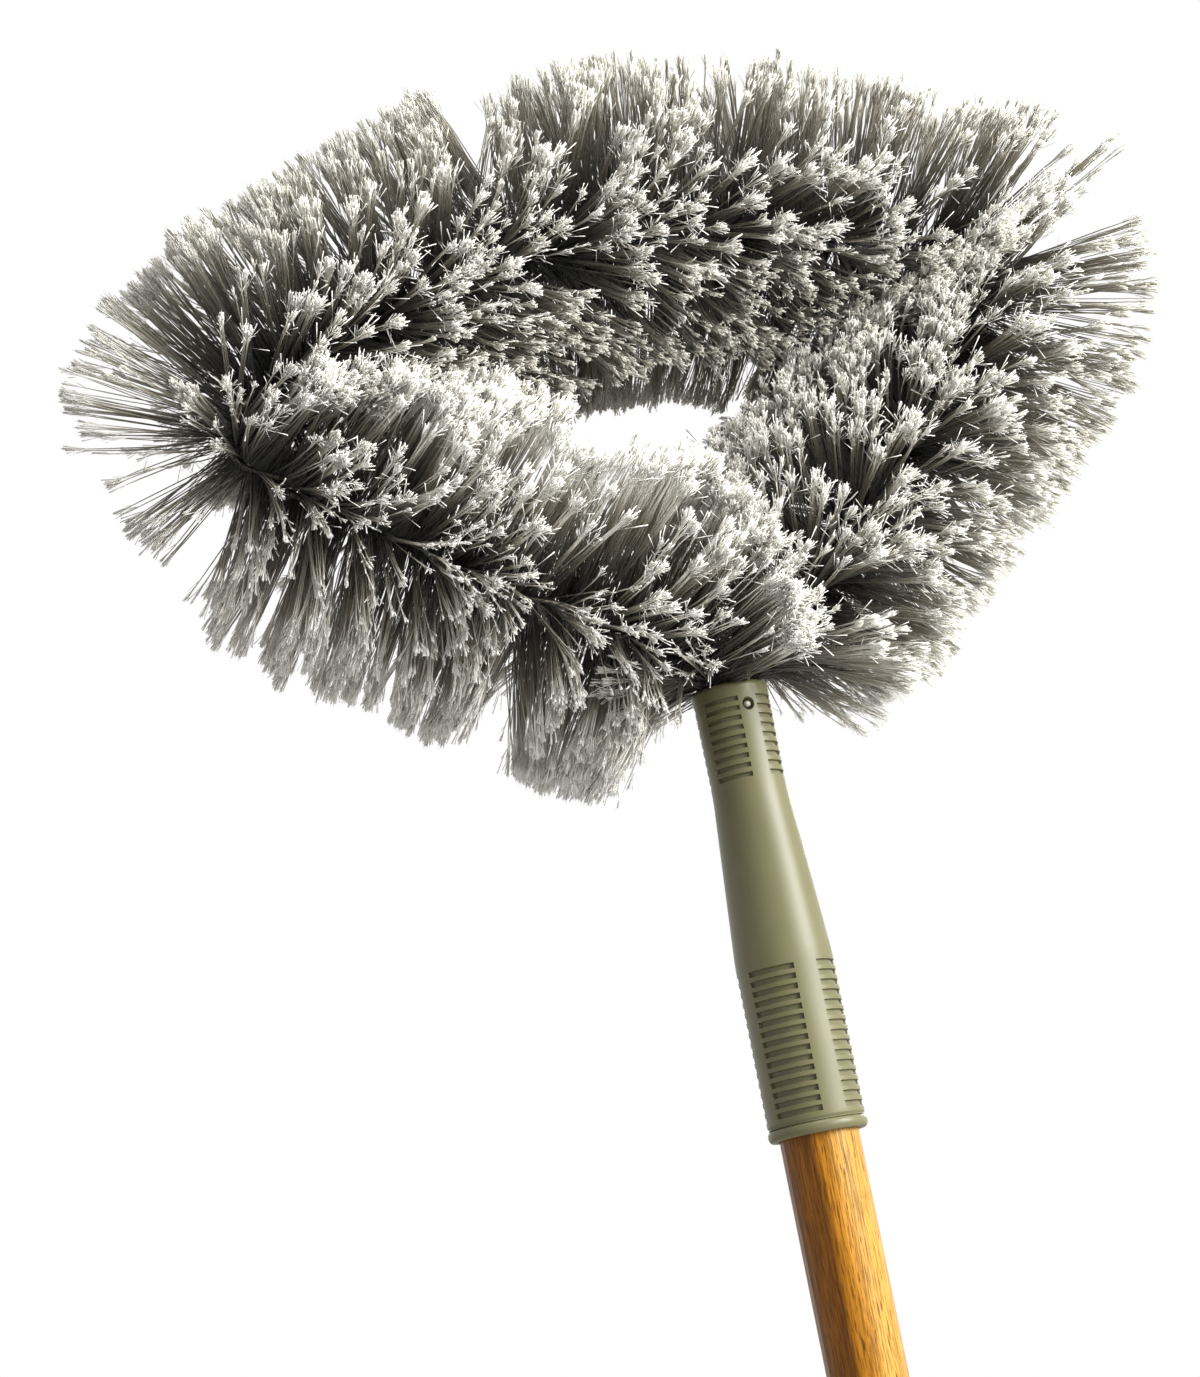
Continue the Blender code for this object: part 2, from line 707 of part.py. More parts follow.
def main():
    """Build the whole brush."""
    clear_scene()
    wood = make_material("varnished_wood", (0.55, 0.27, 0.08), 0.35)
    sage = make_material("sage_plastic", (0.40, 0.39, 0.29), 0.5)
    steel = make_material("galvanised_wire", (0.62, 0.58, 0.50), 0.35, 1.0)
    bright = make_material("pin_steel", (0.75, 0.75, 0.75), 0.25, 1.0)
    plug = make_material("plug_plastic", (0.12, 0.12, 0.11), 0.6)
    bristle = make_material("grey_bristle", (0.30, 0.29, 0.27), 0.7)
    make_pole(wood)
    head = link(bpy.data.objects.new("head_slide", None))
    head.location = (0.0, 0.0, SOCKET_PLACE)
    make_socket(sage, head)
    make_pin(bright, head)
    make_plug(plug, head)
    core = Core()
    make_wire("core_wire_a", core, 1, steel, head)
    make_wire("core_wire_b", core, -1, steel, head)
    make_bristles(core, bristle, head)


main()
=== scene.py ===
import math

import bmesh
import bpy
import numpy as np
from mathutils import Matrix, Vector


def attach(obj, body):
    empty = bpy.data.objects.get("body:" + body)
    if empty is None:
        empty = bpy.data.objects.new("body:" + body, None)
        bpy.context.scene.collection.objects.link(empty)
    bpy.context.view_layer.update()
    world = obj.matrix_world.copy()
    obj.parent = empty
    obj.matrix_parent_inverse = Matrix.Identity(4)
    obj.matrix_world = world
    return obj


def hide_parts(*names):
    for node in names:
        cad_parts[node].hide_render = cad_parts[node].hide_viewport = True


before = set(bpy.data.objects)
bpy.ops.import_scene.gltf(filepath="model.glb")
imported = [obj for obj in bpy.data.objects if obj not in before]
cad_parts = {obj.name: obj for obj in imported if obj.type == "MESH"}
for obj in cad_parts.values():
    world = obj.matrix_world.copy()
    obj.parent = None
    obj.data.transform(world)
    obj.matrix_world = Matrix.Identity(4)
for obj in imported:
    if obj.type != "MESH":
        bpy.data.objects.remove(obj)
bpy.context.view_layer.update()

# Ceiling fan brush: the looks of its pole, its grip socket, its twisted wire and its bristles.
# Metres, +Z up along the pole, the loop in the XZ plane and the photographed side towards -Y.

# Heights of the socket and of the cross pin
SOCKET_FOOT = 1.1903
SOCKET_LENGTH = 0.1375
SOCKET_TOP = SOCKET_FOOT + SOCKET_LENGTH
PIN_HEIGHT = SOCKET_TOP - 0.0075

# Where the photograph was taken from, measured from the middle of the socket's top, and its frame
EYE = (-0.4866, -1.0233, -0.2120)
VIEW_TURN = -0.410071
VIEW_RISE = 0.191530
VIEW_ROLL = -0.193113
PHOTO_WIDE = 1200.0
PHOTO_TALL = 1377.0
FOCAL_PIXELS = 3800.0
SENSOR_TALL = 24.0

# The loop of twisted wire, measured from the middle of the socket's top
STEM_X = 0.00515
STEM_DEPTH = 0.0339
LEFT_CORNER = (-0.1304, 0.0902)
RIGHT_CORNER = (0.0990, 0.1200)
CORNER_RADIUS = 0.011
CROWN_RADIUS = 0.269
LEFT_LEG_RADIUS = 1.02
RIGHT_LEG_RADIUS = 0.377
EXIT_RADIUS = 0.012
HALF_TURNS = 30
BAND_START_ANGLE = math.radians(-44.0)
WIRE_RADIUS = 0.0010
WIRE_OFFSET = 0.0016

# The bristle band: its slices, its tufts and their filaments
SLICES = 16
BAND_START = 0.007
TUFTS_A_SLICE = 360
TUFTS_A_BUNDLE = 6
LOOSE_SHARE = 0.42
FILAMENTS_A_SLICE = 1360
HAIRS_A_TIP = 16
SIDES_THINNED = 0.17
TUFT_SWING = 0.92
BRISTLE_REACH = 0.0550
BAND_HALF_DEPTH = 0.0578
MOST_ROOM = 0.12
TUFT_STEPS = 24
FILAMENT_RADIUS = 0.00020
CELLS = 64
ACROSS_CELL = (0.15, 0.5, 0.85)
FOOT_MAP_LIFT = 0.012
PALEST = 0.97

# How the tufts, the filaments and their split ends scatter
TUFT_FOOT = 0.0006
BUNDLE_SPREAD = 0.0016
BUNDLE_SWING = 0.10
TUFT_BOW = 0.0018
RIM_ENDS = 0.045
END_SLICE_EXTRA = 0.0055
ROOT_SPREAD = 0.0013
TIP_SPREADS = (0.0004, 0.0016)
STRAY_SHARE = 0.07
STRAY_SPREADS = (0.002, 0.007)
FILAMENT_BOW = 0.0007
BLUNT_BACK = 0.0090
BLUNT_RADII = (0.00013, 0.00024)
FINE_BACK = 0.0080
FINE_RADII = (0.00010, 0.00019)
FINE_LENGTHS = (0.0020, 0.0055)

# How the band changes along the core. Each table of places holds lengths along the core.
# Leans tip the outer tufts along the core, reaches are shares of the full length, frays say how split the
# tips are, and the paling table says how much paler the filaments are made, which on the left leg is painted
# light where the main lamp reaches little.
LEAN_PLACES = (0.034, 0.048, 0.062, 0.080, 0.100, 0.170, 0.200, 0.400)
LEAN_PLACES += (0.430, 0.455, 0.466, 0.469, 0.580, 0.612, 0.637)
LEANS = (0.22, 0.32, 0.15, 0.0, -0.10, -0.12, 0.0, 0.0, 0.08, 0.24, 0.16, 0.0, 0.0, -0.44, -0.50)
REACH_PLACES = (0.034, 0.060, 0.120, 0.180, 0.192, 0.199, 0.204, 0.214)
REACH_PLACES += (0.240, 0.320, 0.350, 0.375, 0.450, 0.465)
REACH_PLACES += (0.472, 0.486, 0.500, 0.525, 0.550, 0.580, 0.600, 0.637)
REACHES = (0.90, 0.93, 0.90, 0.92, 0.76, 0.73, 0.90, 0.92, 0.93, 0.99, 1.00, 0.98, 0.96, 1.05)
REACHES += (1.10, 1.08, 1.01, 0.93, 0.85, 0.83, 0.85, 0.88)
INNER_PLACES = (0.060, 0.090, 0.150, 0.200, 0.540, 0.580, 0.620)
INNER_REACHES = (1.10, 1.14, 1.12, 1.04, 1.05, 1.12, 1.12)
FRAY_PLACES = (0.034, 0.060, 0.190, 0.215, 0.300, 0.420, 0.460, 0.500, 0.540, 0.600, 0.637)
OUTER_FRAYS = (0.52, 0.36, 0.30, 0.40, 0.46, 0.44, 0.36, 0.38, 0.58, 0.56, 0.36)
INNER_FRAYS = (1.00, 1.00, 0.95, 0.45, 0.32, 0.32, 0.45, 0.70, 0.80, 0.90, 1.00)
# Paling along the core. Its larger values on the left leg are painted light, where the main lamp reaches
# little.
PALING_PLACES = (0.034, 0.170, 0.215, 0.300, 0.560, 0.600, 0.637)
PALING_AND_PAINTED_LIGHT = (0.18, 0.18, 0.08, 0.05, 0.03, 0.06, 0.13)

# Partings of the outer rim: length along the core, push and width
PARTINGS = (
    (0.1030, 0.200, 0.006), (0.122, 0.070, 0.003), (0.1325, 0.080, 0.003), (0.140, 0.085, 0.003),
    (0.1575, 0.110, 0.004), (0.173, 0.080, 0.003), (0.1805, 0.090, 0.003), (0.1925, 0.210, 0.004),
    (0.1975, 0.060, 0.0015), (0.2010, 0.060, 0.0015), (0.2045, 0.050, 0.0015), (0.2080, 0.060, 0.0015),
    (0.286, 0.050, 0.003), (0.2995, 0.055, 0.003), (0.3215, 0.280, 0.006), (0.340, 0.050, 0.003),
    (0.3835, 0.070, 0.003), (0.4685, 0.110, 0.003), (0.4716, 0.170, 0.004),
)

# Open wedges between the tufts, as the photographed side shows them: inner end, rim end, half width
GAPS = (
    (-0.0570, 0.0262, -0.0832, -0.0145, 0.0085), (-0.0517, 0.1605, -0.0511, 0.1959, 0.0100),
    (-0.1436, 0.0539, -0.1547, 0.0293, 0.0028), (-0.1357, 0.0498, -0.1477, 0.0241, 0.0027),
    (-0.1252, 0.0431, -0.1366, 0.0163, 0.0029), (-0.1109, 0.0234, -0.1190, 0.0048, 0.0023),
    (-0.1027, 0.0268, -0.1127, 0.0023, 0.0027), (-0.0936, 0.0185, -0.1018, -0.0043, 0.0022),
    (-0.0989, 0.1583, -0.1037, 0.1842, 0.0030), (0.0359, 0.1557, 0.0463, 0.1992, 0.0034),
    (0.1256, 0.1288, 0.1588, 0.1397, 0.0072), (0.1217, 0.1396, 0.1467, 0.1612, 0.0034),
    (0.1389, 0.1167, 0.1618, 0.1148, 0.0020), (-0.1591, 0.1103, -0.1820, 0.1263, 0.0013),
    (-0.1602, 0.0871, -0.1931, 0.0836, 0.0052),
)

# Directions from a corner, in degrees, in which tufts are longer or shorter, or thinned out:
# the corner, the direction, half the angle covered and the share of length, or of tufts left out
SHEAVES = ((*RIGHT_CORNER, 33.8, 6.0, 1.16), (*LEFT_CORNER, 176.0, 6.0, 0.89))
SPARSE = ((*LEFT_CORNER, 195.0, 10.0, 0.80), (*LEFT_CORNER, 228.0, 6.0, 0.55))
CORNER_CLEAR = 0.030

# The clear window in the loop's middle, as the photographed side shows it, and the room kept round the socket
WINDOW_MIDDLE = (-0.0116, 0.0848)
WINDOW_HALF = (0.0243, 0.0068)
SOCKET_CLEAR = 0.0135
SEEN_SOCKET_CLEAR = 0.0165


def deselect():
    """Leave nothing selected and nothing in edit mode."""
    if bpy.context.object is not None and bpy.context.object.mode != "OBJECT":
        bpy.ops.object.mode_set(mode="OBJECT")
    bpy.ops.object.select_all(action="DESELECT")


def pick(piece):
    """Make a piece the only one selected."""
    deselect()
    piece.select_set(True)
    bpy.context.view_layer.objects.active = piece


def settle(piece):
    """Apply a piece's place, turn and scale, so that its object sits at the origin."""
    pick(piece)
    bpy.ops.object.transform_apply(location=True, rotation=True, scale=True)


def apply_modifiers(piece):
    """Apply every modifier of a piece."""
    pick(piece)
    for modifier in list(piece.modifiers):
        bpy.ops.object.modifier_apply(modifier=modifier.name)


def smooth(piece, degrees=35.0):
    """Shade a piece smooth, with its real edges kept sharp."""
    pick(piece)
    bpy.ops.object.shade_smooth_by_angle(angle=math.radians(degrees))


def coat(piece, material):
    """Make a material the only one of a piece."""
    piece.data.materials.clear()
    piece.data.materials.append(material)


def finish_with(piece, material, slot, body, *nodes):
    """Give a piece its material, the nodes that it replaces and the body that carries it. Its slot is not
    used.
    """
    coat(piece, material)
    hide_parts(*nodes)
    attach(piece, body)


# Camera, lights and floor
def place_camera():
    """The photograph's view: a long lens, below the head and to its left, looking slightly up."""
    lens = bpy.data.cameras.new("camera")
    lens.sensor_fit = "VERTICAL"
    lens.sensor_height = SENSOR_TALL
    lens.sensor_width = SENSOR_TALL * PHOTO_WIDE / PHOTO_TALL
    lens.lens = SENSOR_TALL * FOCAL_PIXELS / PHOTO_TALL
    lens.clip_end = 50.0
    camera = bpy.data.objects.new("camera", lens)
    bpy.context.scene.collection.objects.link(camera)
    turn = Matrix.Rotation(VIEW_TURN, 4, "Z") @ Matrix.Rotation(math.radians(90.0) + VIEW_RISE, 4, "X")
    turn = turn @ Matrix.Rotation(VIEW_ROLL, 4, "Z")
    camera.matrix_world = Matrix.Translation((EYE[0], EYE[1], SOCKET_TOP + EYE[2])) @ turn
    bpy.context.scene.camera = camera


def soft_lamp(name, place, aim, wide, tall, watts):
    """A soft light with straight sides."""
    light = bpy.data.lights.new(name, "AREA")
    light.shape = "RECTANGLE"
    light.size = wide
    light.size_y = tall
    light.energy = watts
    lamp = bpy.data.objects.new(name, light)
    bpy.context.scene.collection.objects.link(lamp)
    way = Vector(aim) - Vector(place)
    lamp.matrix_world = Matrix.Translation(place) @ way.to_track_quat("-Z", "Y").to_matrix().to_4x4()


def light_studio():
    """Soft light from the right, from above and from behind, a weak fill, and a white background."""
    head = (0.0, 0.0, SOCKET_TOP + 0.06)
    grip = (0.0, 0.0, SOCKET_FOOT)
    soft_lamp("key_light", (1.62, -1.62, 2.00), head, 1.3, 1.3, 112.0)
    soft_lamp("top_light", (0.10, -0.95, 3.20), head, 1.5, 1.2, 26.0)
    soft_lamp("strip_light", (0.60, -1.70, 1.52), grip, 0.04, 1.3, 9.0)
    soft_lamp("back_light", (1.2, 1.9, 2.3), head, 1.2, 1.2, 56.0)
    world = bpy.data.worlds.new("studio")
    bpy.context.scene.world = world
    world.use_nodes = True
    nodes = world.node_tree.nodes
    links = world.node_tree.links
    nodes.clear()
    output = nodes.new("ShaderNodeOutputWorld")
    seen = nodes.new("ShaderNodeBackground")
    seen.inputs["Color"].default_value = (1.0, 1.0, 1.0, 1.0)
    lit = nodes.new("ShaderNodeBackground")
    lit.inputs["Color"].default_value = (0.97, 0.98, 1.0, 1.0)
    lit.inputs["Strength"].default_value = 0.32
    rays = nodes.new("ShaderNodeLightPath")
    mix = nodes.new("ShaderNodeMixShader")
    white = rays.outputs["Is Camera Ray"]
    for ray in ("Is Glossy Ray", "Is Transmission Ray"):
        most = nodes.new("ShaderNodeMath")
        most.operation = "MAXIMUM"
        links.new(white, most.inputs[0])
        links.new(rays.outputs[ray], most.inputs[1])
        white = most.outputs[0]
    links.new(white, mix.inputs["Fac"])
    links.new(lit.outputs[0], mix.inputs[1])
    links.new(seen.outputs[0], mix.inputs[2])
    links.new(mix.outputs[0], output.inputs["Surface"])


def lay_floor():
    """A plain pale floor under the pole's end."""
    deselect()
    place = (0.0, 0.0, -0.0005)
    bpy.ops.mesh.primitive_circle_add(vertices=96, radius=9.0, fill_type="NGON", location=place)
    floor = bpy.context.object
    floor.name = "studio_floor"
    settle(floor)
    paint = bpy.data.materials.new("pale_floor")
    paint.use_nodes = True
    shader = paint.node_tree.nodes["Principled BSDF"]
    shader.inputs["Base Color"].default_value = (0.66, 0.66, 0.66, 1.0)
    shader.inputs["Roughness"].default_value = 0.9
    nodes = paint.node_tree.nodes
    links = paint.node_tree.links
    pale = nodes.new("ShaderNodeEmission")
    rays = nodes.new("ShaderNodeLightPath")
    share = nodes.new("ShaderNodeMath")
    share.operation = "MULTIPLY"
    share.inputs[1].default_value = 0.50
    mix = nodes.new("ShaderNodeMixShader")
    links.new(rays.outputs["Is Camera Ray"], share.inputs[0])
    links.new(share.outputs[0], mix.inputs["Fac"])
    links.new(shader.outputs["BSDF"], mix.inputs[1])
    links.new(pale.outputs["Emission"], mix.inputs[2])
    links.new(mix.outputs["Shader"], nodes["Material Output"].inputs["Surface"])
    floor.data.materials.append(paint)


class Finish:
    """A material and short ways of adding nodes to it."""

    def __init__(self, name, roughness, metallic=0.0):
        self.material = bpy.data.materials.new(name)
        self.material.use_nodes = True
        self.nodes = self.material.node_tree.nodes
        self.links = self.material.node_tree.links
        self.shader = self.nodes["Principled BSDF"]
        self.keep("Roughness", roughness)
        self.keep("Metallic", metallic)

    def join(self, source, target):
        """Wire one socket to another."""
        self.links.new(source, target)

    def feed(self, name, source):
        """Wire a socket to one of the shader's."""
        self.join(source, self.shader.inputs[name])

    def keep(self, name, value):
        """Set one of the shader's sockets to a value."""
        self.shader.inputs[name].default_value = value

    def place(self, along):
        """Object coordinates, with the height scaled, which draws a pattern out along the pole."""
        where = self.nodes.new("ShaderNodeTexCoord")
        mapping = self.nodes.new("ShaderNodeMapping")
        mapping.inputs["Scale"].default_value = (1.0, 1.0, along)
        self.join(where.outputs["Object"], mapping.inputs["Vector"])
        return mapping.outputs["Vector"]

    def noise(self, scale, detail=4.0, rough=0.55, distortion=0.0, along=1.0):
        """A cloudy pattern, as one value."""
        texture = self.nodes.new("ShaderNodeTexNoise")
        texture.inputs["Scale"].default_value = scale
        texture.inputs["Detail"].default_value = detail
        texture.inputs["Roughness"].default_value = rough
        texture.inputs["Distortion"].default_value = distortion
        self.join(self.place(along), texture.inputs["Vector"])
        return texture.outputs["Fac"]

    def reckon(self, operation, *values):
        """One step of arithmetic on sockets and numbers."""
        step = self.nodes.new("ShaderNodeMath")
        step.operation = operation
        for value, socket in zip(values, step.inputs):
            if isinstance(value, float):
                socket.default_value = value
            else:
                self.join(value, socket)
        return step.outputs[0]

    def ramp(self, value, stops):
        """Colours, or greys, along a value from 0 to 1."""
        ramp = self.nodes.new("ShaderNodeValToRGB")
        elements = ramp.color_ramp.elements
        for i, (place, colour) in enumerate(stops):
            element = elements[i] if i < 2 else elements.new(place)
            element.position = place
            colour = (colour, colour, colour) if isinstance(colour, float) else colour
            element.color = (*colour, 1.0)
        self.join(value, ramp.inputs["Fac"])
        return ramp.outputs["Color"]

    def mix(self, share, first, second, blend="MIX"):
        """Two colours mixed by a share, which is a number or a socket."""
        mix = self.nodes.new("ShaderNodeMix")
        mix.data_type = "RGBA"
        mix.blend_type = blend
        for source, name in ((share, "Factor_Float"), (first, "A_Color"), (second, "B_Color")):
            target = next(s for s in mix.inputs if s.identifier == name)
            if isinstance(source, (float, tuple)):
                target.default_value = source if isinstance(source, float) else (*source, 1.0)
            else:
                self.join(source, target)
        return next(s for s in mix.outputs if s.identifier == "Result_Color")

    def range(self, value, low, high):
        """A value from 0 to 1 brought between two others."""
        span = self.nodes.new("ShaderNodeMapRange")
        span.inputs["To Min"].default_value = low
        span.inputs["To Max"].default_value = high
        self.join(value, span.inputs["Value"])
        return span.outputs["Result"]

    def bump(self, height, distance, strength=1.0, under=None):
        """A bump of a real height, in metres."""
        bump = self.nodes.new("ShaderNodeBump")
        bump.inputs["Strength"].default_value = strength
        bump.inputs["Distance"].default_value = distance
        self.join(height, bump.inputs["Height"])
        if under is not None:
            self.join(under, bump.inputs["Normal"])
        return bump.outputs["Normal"]


def varnished_wood():
    """Honey-coloured wood with fine dark pores, under a glossy varnish. Across the pole as the camera sees
    it, the tone is the wood's own figure with a dark grain streak, plus painted shade that darkens the left
    side and painted light that brightens the right side, towards the main lamp.
    """
    finish = Finish("varnished_wood", 0.28)
    # Tone laid across the pole as the camera sees it: the wood's figure with a dark grain streak, plus
    # painted shade on the left and painted light on the right.
    across = finish.nodes.new("ShaderNodeVectorMath")
    across.operation = "DOT_PRODUCT"
    across.inputs[1].default_value = (37.6, -17.9, 0.0)
    finish.join(finish.place(1.0), across.inputs[0])
    waver = finish.noise(90.0, 3.0, 0.5, along=0.10)
    shift = finish.reckon("MULTIPLY_ADD", waver, 0.34, 0.33)
    base = finish.ramp(finish.reckon("ADD", across.outputs["Value"], shift), [
        (0.00, (0.360, 0.132, 0.018)),
        (0.26, (0.300, 0.108, 0.014)),
        (0.345, (0.170, 0.058, 0.007)),
        (0.43, (0.500, 0.190, 0.014)),
        (0.60, (0.570, 0.242, 0.024)),
        (0.80, (0.640, 0.345, 0.074)),
        (1.00, (0.625, 0.325, 0.068)),
    ])
    bands = finish.noise(420.0, 3.0, 0.55, 0.3, along=0.05)
    base = finish.mix(0.9, base, finish.ramp(bands, [(0.34, 0.62), (0.60, 1.0)]), "MULTIPLY")
    fibres = finish.noise(2100.0, 3.0, 0.6, along=0.055)
    streaks = finish.ramp(fibres, [(0.38, 0.46), (0.56, 1.0)])
    base = finish.mix(0.9, base, streaks, "MULTIPLY")
    pores = finish.noise(2500.0, 2.0, 0.5, along=0.06)
    dashes = finish.ramp(pores, [(0.335, 1.0), (0.39, 0.0)])
    base = finish.mix(dashes, base, (0.125, 0.046, 0.009))
    finish.feed("Base Color", base)
    finish.feed("Roughness", finish.range(finish.noise(260.0, 4.0, along=0.4), 0.12, 0.30))
    ripple = finish.bump(finish.noise(900.0, 3.0, 0.6, along=0.45), 0.00010, 0.9)
    finish.feed("Normal", finish.bump(streaks, 0.00005, 0.8, ripple))
    finish.keep("Specular IOR Level", 0.12)
    return finish.material


def sage_plastic():
    """Satin moulded plastic in a greyish sage green."""
    finish = Finish("sage_plastic", 0.42)
    clouds = finish.noise(90.0, 3.0, along=0.5)
    grain = finish.noise(2600.0, 2.0)
    base = finish.ramp(clouds, [(0.3, (0.146, 0.135, 0.066)), (0.7, (0.164, 0.152, 0.075))])
    finish.feed("Base Color", base)
    finish.feed("Roughness", finish.range(grain, 0.33, 0.41))
    finish.feed("Normal", finish.bump(grain, 0.00002, 0.5))
    finish.keep("Specular IOR Level", 0.34)
    return finish.material


def dull_wire():
    """Galvanised wire, dulled to a brownish grey."""
    finish = Finish("galvanised_wire", 0.5, 1.0)
    spots = finish.noise(700.0, 4.0, 0.65)
    base = finish.ramp(spots, [(0.35, (0.045, 0.042, 0.034)), (0.6, (0.12, 0.11, 0.085))])
    finish.feed("Base Color", base)
    finish.feed("Roughness", finish.range(spots, 0.42, 0.6))
    finish.feed("Normal", finish.bump(spots, 0.00003, 0.5))
    return finish.material


def pin_steel():
    """Dull steel, faintly worn."""
    finish = Finish("pin_steel", 0.45, 1.0)
    wear = finish.noise(1200.0, 3.0)
    base = finish.ramp(wear, [(0.3, (0.12, 0.115, 0.090)), (0.7, (0.21, 0.20, 0.165))])
    finish.feed("Base Color", base)
    finish.feed("Roughness", finish.range(wear, 0.38, 0.52))
    return finish.material


def plug_plastic():
    """Dark matt plastic."""
    finish = Finish("plug_plastic", 0.6)
    grain = finish.noise(1500.0, 3.0)
    base = finish.ramp(grain, [(0.3, (0.013, 0.013, 0.012)), (0.7, (0.022, 0.022, 0.020))])
    finish.feed("Base Color", base)
    finish.feed("Normal", finish.bump(grain, 0.00003, 0.4))
    return finish.material


def bristle_grey():
    """Charcoal filaments that pale towards cream, frayed tips.

    The map's U tells the filaments apart, and its V runs outwards along them.
    """
    finish = Finish("grey_bristle", 0.40)
    uv = finish.nodes.new("ShaderNodeUVMap")
    uv.uv_map = "OFBake"
    parts = finish.nodes.new("ShaderNodeSeparateXYZ")
    finish.join(uv.outputs["UV"], parts.inputs["Vector"])
    along = finish.ramp(parts.outputs["Y"], [
        (0.00, (0.036, 0.036, 0.032)),
        (0.32, (0.078, 0.075, 0.063)),
        (0.56, (0.190, 0.176, 0.138)),
        (0.72, (0.380, 0.354, 0.282)),
        (0.84, (0.880, 0.862, 0.785)),
        (1.00, (0.980, 0.970, 0.925)),
    ])
    tint = finish.nodes.new("ShaderNodeTexWhiteNoise")
    tint.noise_dimensions = "1D"
    cell = finish.reckon("FLOOR", finish.reckon("MULTIPLY", parts.outputs["X"], float(CELLS)))
    finish.join(cell, tint.inputs["W"])
    shade = finish.ramp(tint.outputs["Value"], [(0.0, (0.88, 0.87, 0.85)), (1.0, (1.0, 1.0, 1.0))])
    finish.feed("Base Color", finish.mix(1.0, along, shade, "MULTIPLY"))
    finish.keep("Specular IOR Level", 0.20)
    finish.keep("Sheen Weight", 0.15)
    finish.keep("Sheen Roughness", 0.5)
    finish.keep("Sheen Tint", (0.97, 0.96, 0.92, 1.0))
    return finish.material


# The grip socket. Its heights are measured from its mouth.
SOCKET_COLUMNS = 72
FOOT_RADIUS = 0.0147
NECK_RADIUS = 0.0113
TAPER_START = 0.0535
TAPER_END = 0.1045
TAPER_EASE = 0.003
SLOT_DEPTH = 0.0010
PANEL_GAP_DEGREES = 15.0
INSIDE_RADIUS = 0.0105
EDGE_SOFTNESS = 0.00046


def socket_slots():
    """Lower and upper edge of every row of slots."""
    lower = [(0.0070 + 0.00304 * i, 0.00085) for i in range(15)]
    upper = [(0.1087 + 0.00292 * i, 0.00070) for i in range(9)]
    return [(middle - half, middle + half) for middle, half in lower + upper]


def eased(past):
    """How far past a corner of the taper a height is, with the corner rounded off."""
    if past <= -TAPER_EASE:
        return 0.0
    if past >= TAPER_EASE:
        return past
    return (past + TAPER_EASE) ** 2 / (4 * TAPER_EASE)


def socket_radius(height):
    """Radius of the socket's outside above its bead: straight, tapered, then flared a little."""
    taper = (NECK_RADIUS - FOOT_RADIUS) / (TAPER_END - TAPER_START)
    flare = 0.0003 / (SOCKET_LENGTH - TAPER_END)
    radius = FOOT_RADIUS + taper * eased(height - TAPER_START)
    return radius + (flare - taper) * eased(height - TAPER_END)


def socket_rings():
    """The socket's profile: from inside its mouth round its bead, up the outside, down to the plug."""
    rings = [(0.0123, 0.010), (0.0123, 0.0006), (0.0126, 0.0001)]
    for degrees in range(-80, 91, 17):
        a = math.radians(degrees)
        rings.append((0.0150 - 0.0012 * (1 - math.cos(a)), 0.0018 + 0.0018 * math.sin(a)))
    rings += [(0.01440, 0.00370), (0.01428, 0.00395), (0.01440, 0.00425), (0.01462, 0.00450)]
    rings.append((FOOT_RADIUS, 0.0048))
    heights = [0.0505, 0.0520, TAPER_START, 0.0550, 0.0565]
    heights += [0.0565 + 0.005 * i for i in range(1, 9)] + [0.1015, 0.1030, TAPER_END, 0.1060, 0.1075]
    for low, high in socket_slots():
        heights += [low, high]
    rings += [(socket_radius(height), height) for height in sorted(heights)]
    for degrees in range(0, 91, 15):
        a = math.radians(degrees)
        radius = 0.0116 - 0.0016 * (1 - math.cos(a))
        rings.append((radius, SOCKET_LENGTH - 0.0016 + 0.0016 * math.sin(a)))
    rings += [(0.0086, SOCKET_LENGTH), (0.0083, 0.1372), (0.0083, 0.1342)]
    return rings


def draw_turned(name, rings, columns, base):
    """A turned wall: a circle extruded from ring to ring, each brought to its radius and height."""
    deselect()
    radius, height = rings[0]
    place = (0.0, 0.0, base + height)
    bpy.ops.mesh.primitive_circle_add(vertices=columns, radius=radius, location=place)
    piece = bpy.context.object
    piece.name = name
    settle(piece)
    bpy.ops.object.mode_set(mode="EDIT")
    bpy.ops.mesh.select_all(action="SELECT")
    for next_radius, next_height in rings[1:]:
        rise = {"value": (0.0, 0.0, next_height - height)}
        bpy.ops.mesh.extrude_edges_move(TRANSFORM_OT_translate=rise)
        share = next_radius / radius
        middle = (0.0, 0.0, base + next_height)
        bpy.ops.transform.resize(value=(share, share, 1.0), center_override=middle)
        radius, height = next_radius, next_height
    bpy.ops.mesh.select_all(action="SELECT")
    bpy.ops.mesh.normals_make_consistent(inside=False)
    bpy.ops.object.mode_set(mode="OBJECT")
    return piece


def close_ends(piece):
    """Cap the open ends of a turned wall."""
    pick(piece)
    bpy.ops.object.mode_set(mode="EDIT")
    bpy.ops.mesh.select_mode(type="EDGE")
    bpy.ops.mesh.select_all(action="DESELECT")
    bpy.ops.mesh.select_non_manifold()
    bpy.ops.mesh.edge_face_add()
    bpy.ops.mesh.select_all(action="SELECT")
    bpy.ops.mesh.normals_make_consistent(inside=False)
    bpy.ops.object.mode_set(mode="OBJECT")


def select_faces(piece, wanted):
    """In edit mode, select the faces whose middle passes a test."""
    bpy.ops.mesh.select_mode(type="FACE")
    bpy.ops.mesh.select_all(action="DESELECT")
    work = bmesh.from_edit_mesh(piece.data)
    for face in work.faces:
        if wanted(face.calc_center_median()):
            face.select_set(True)
    bmesh.update_edit_mesh(piece.data)


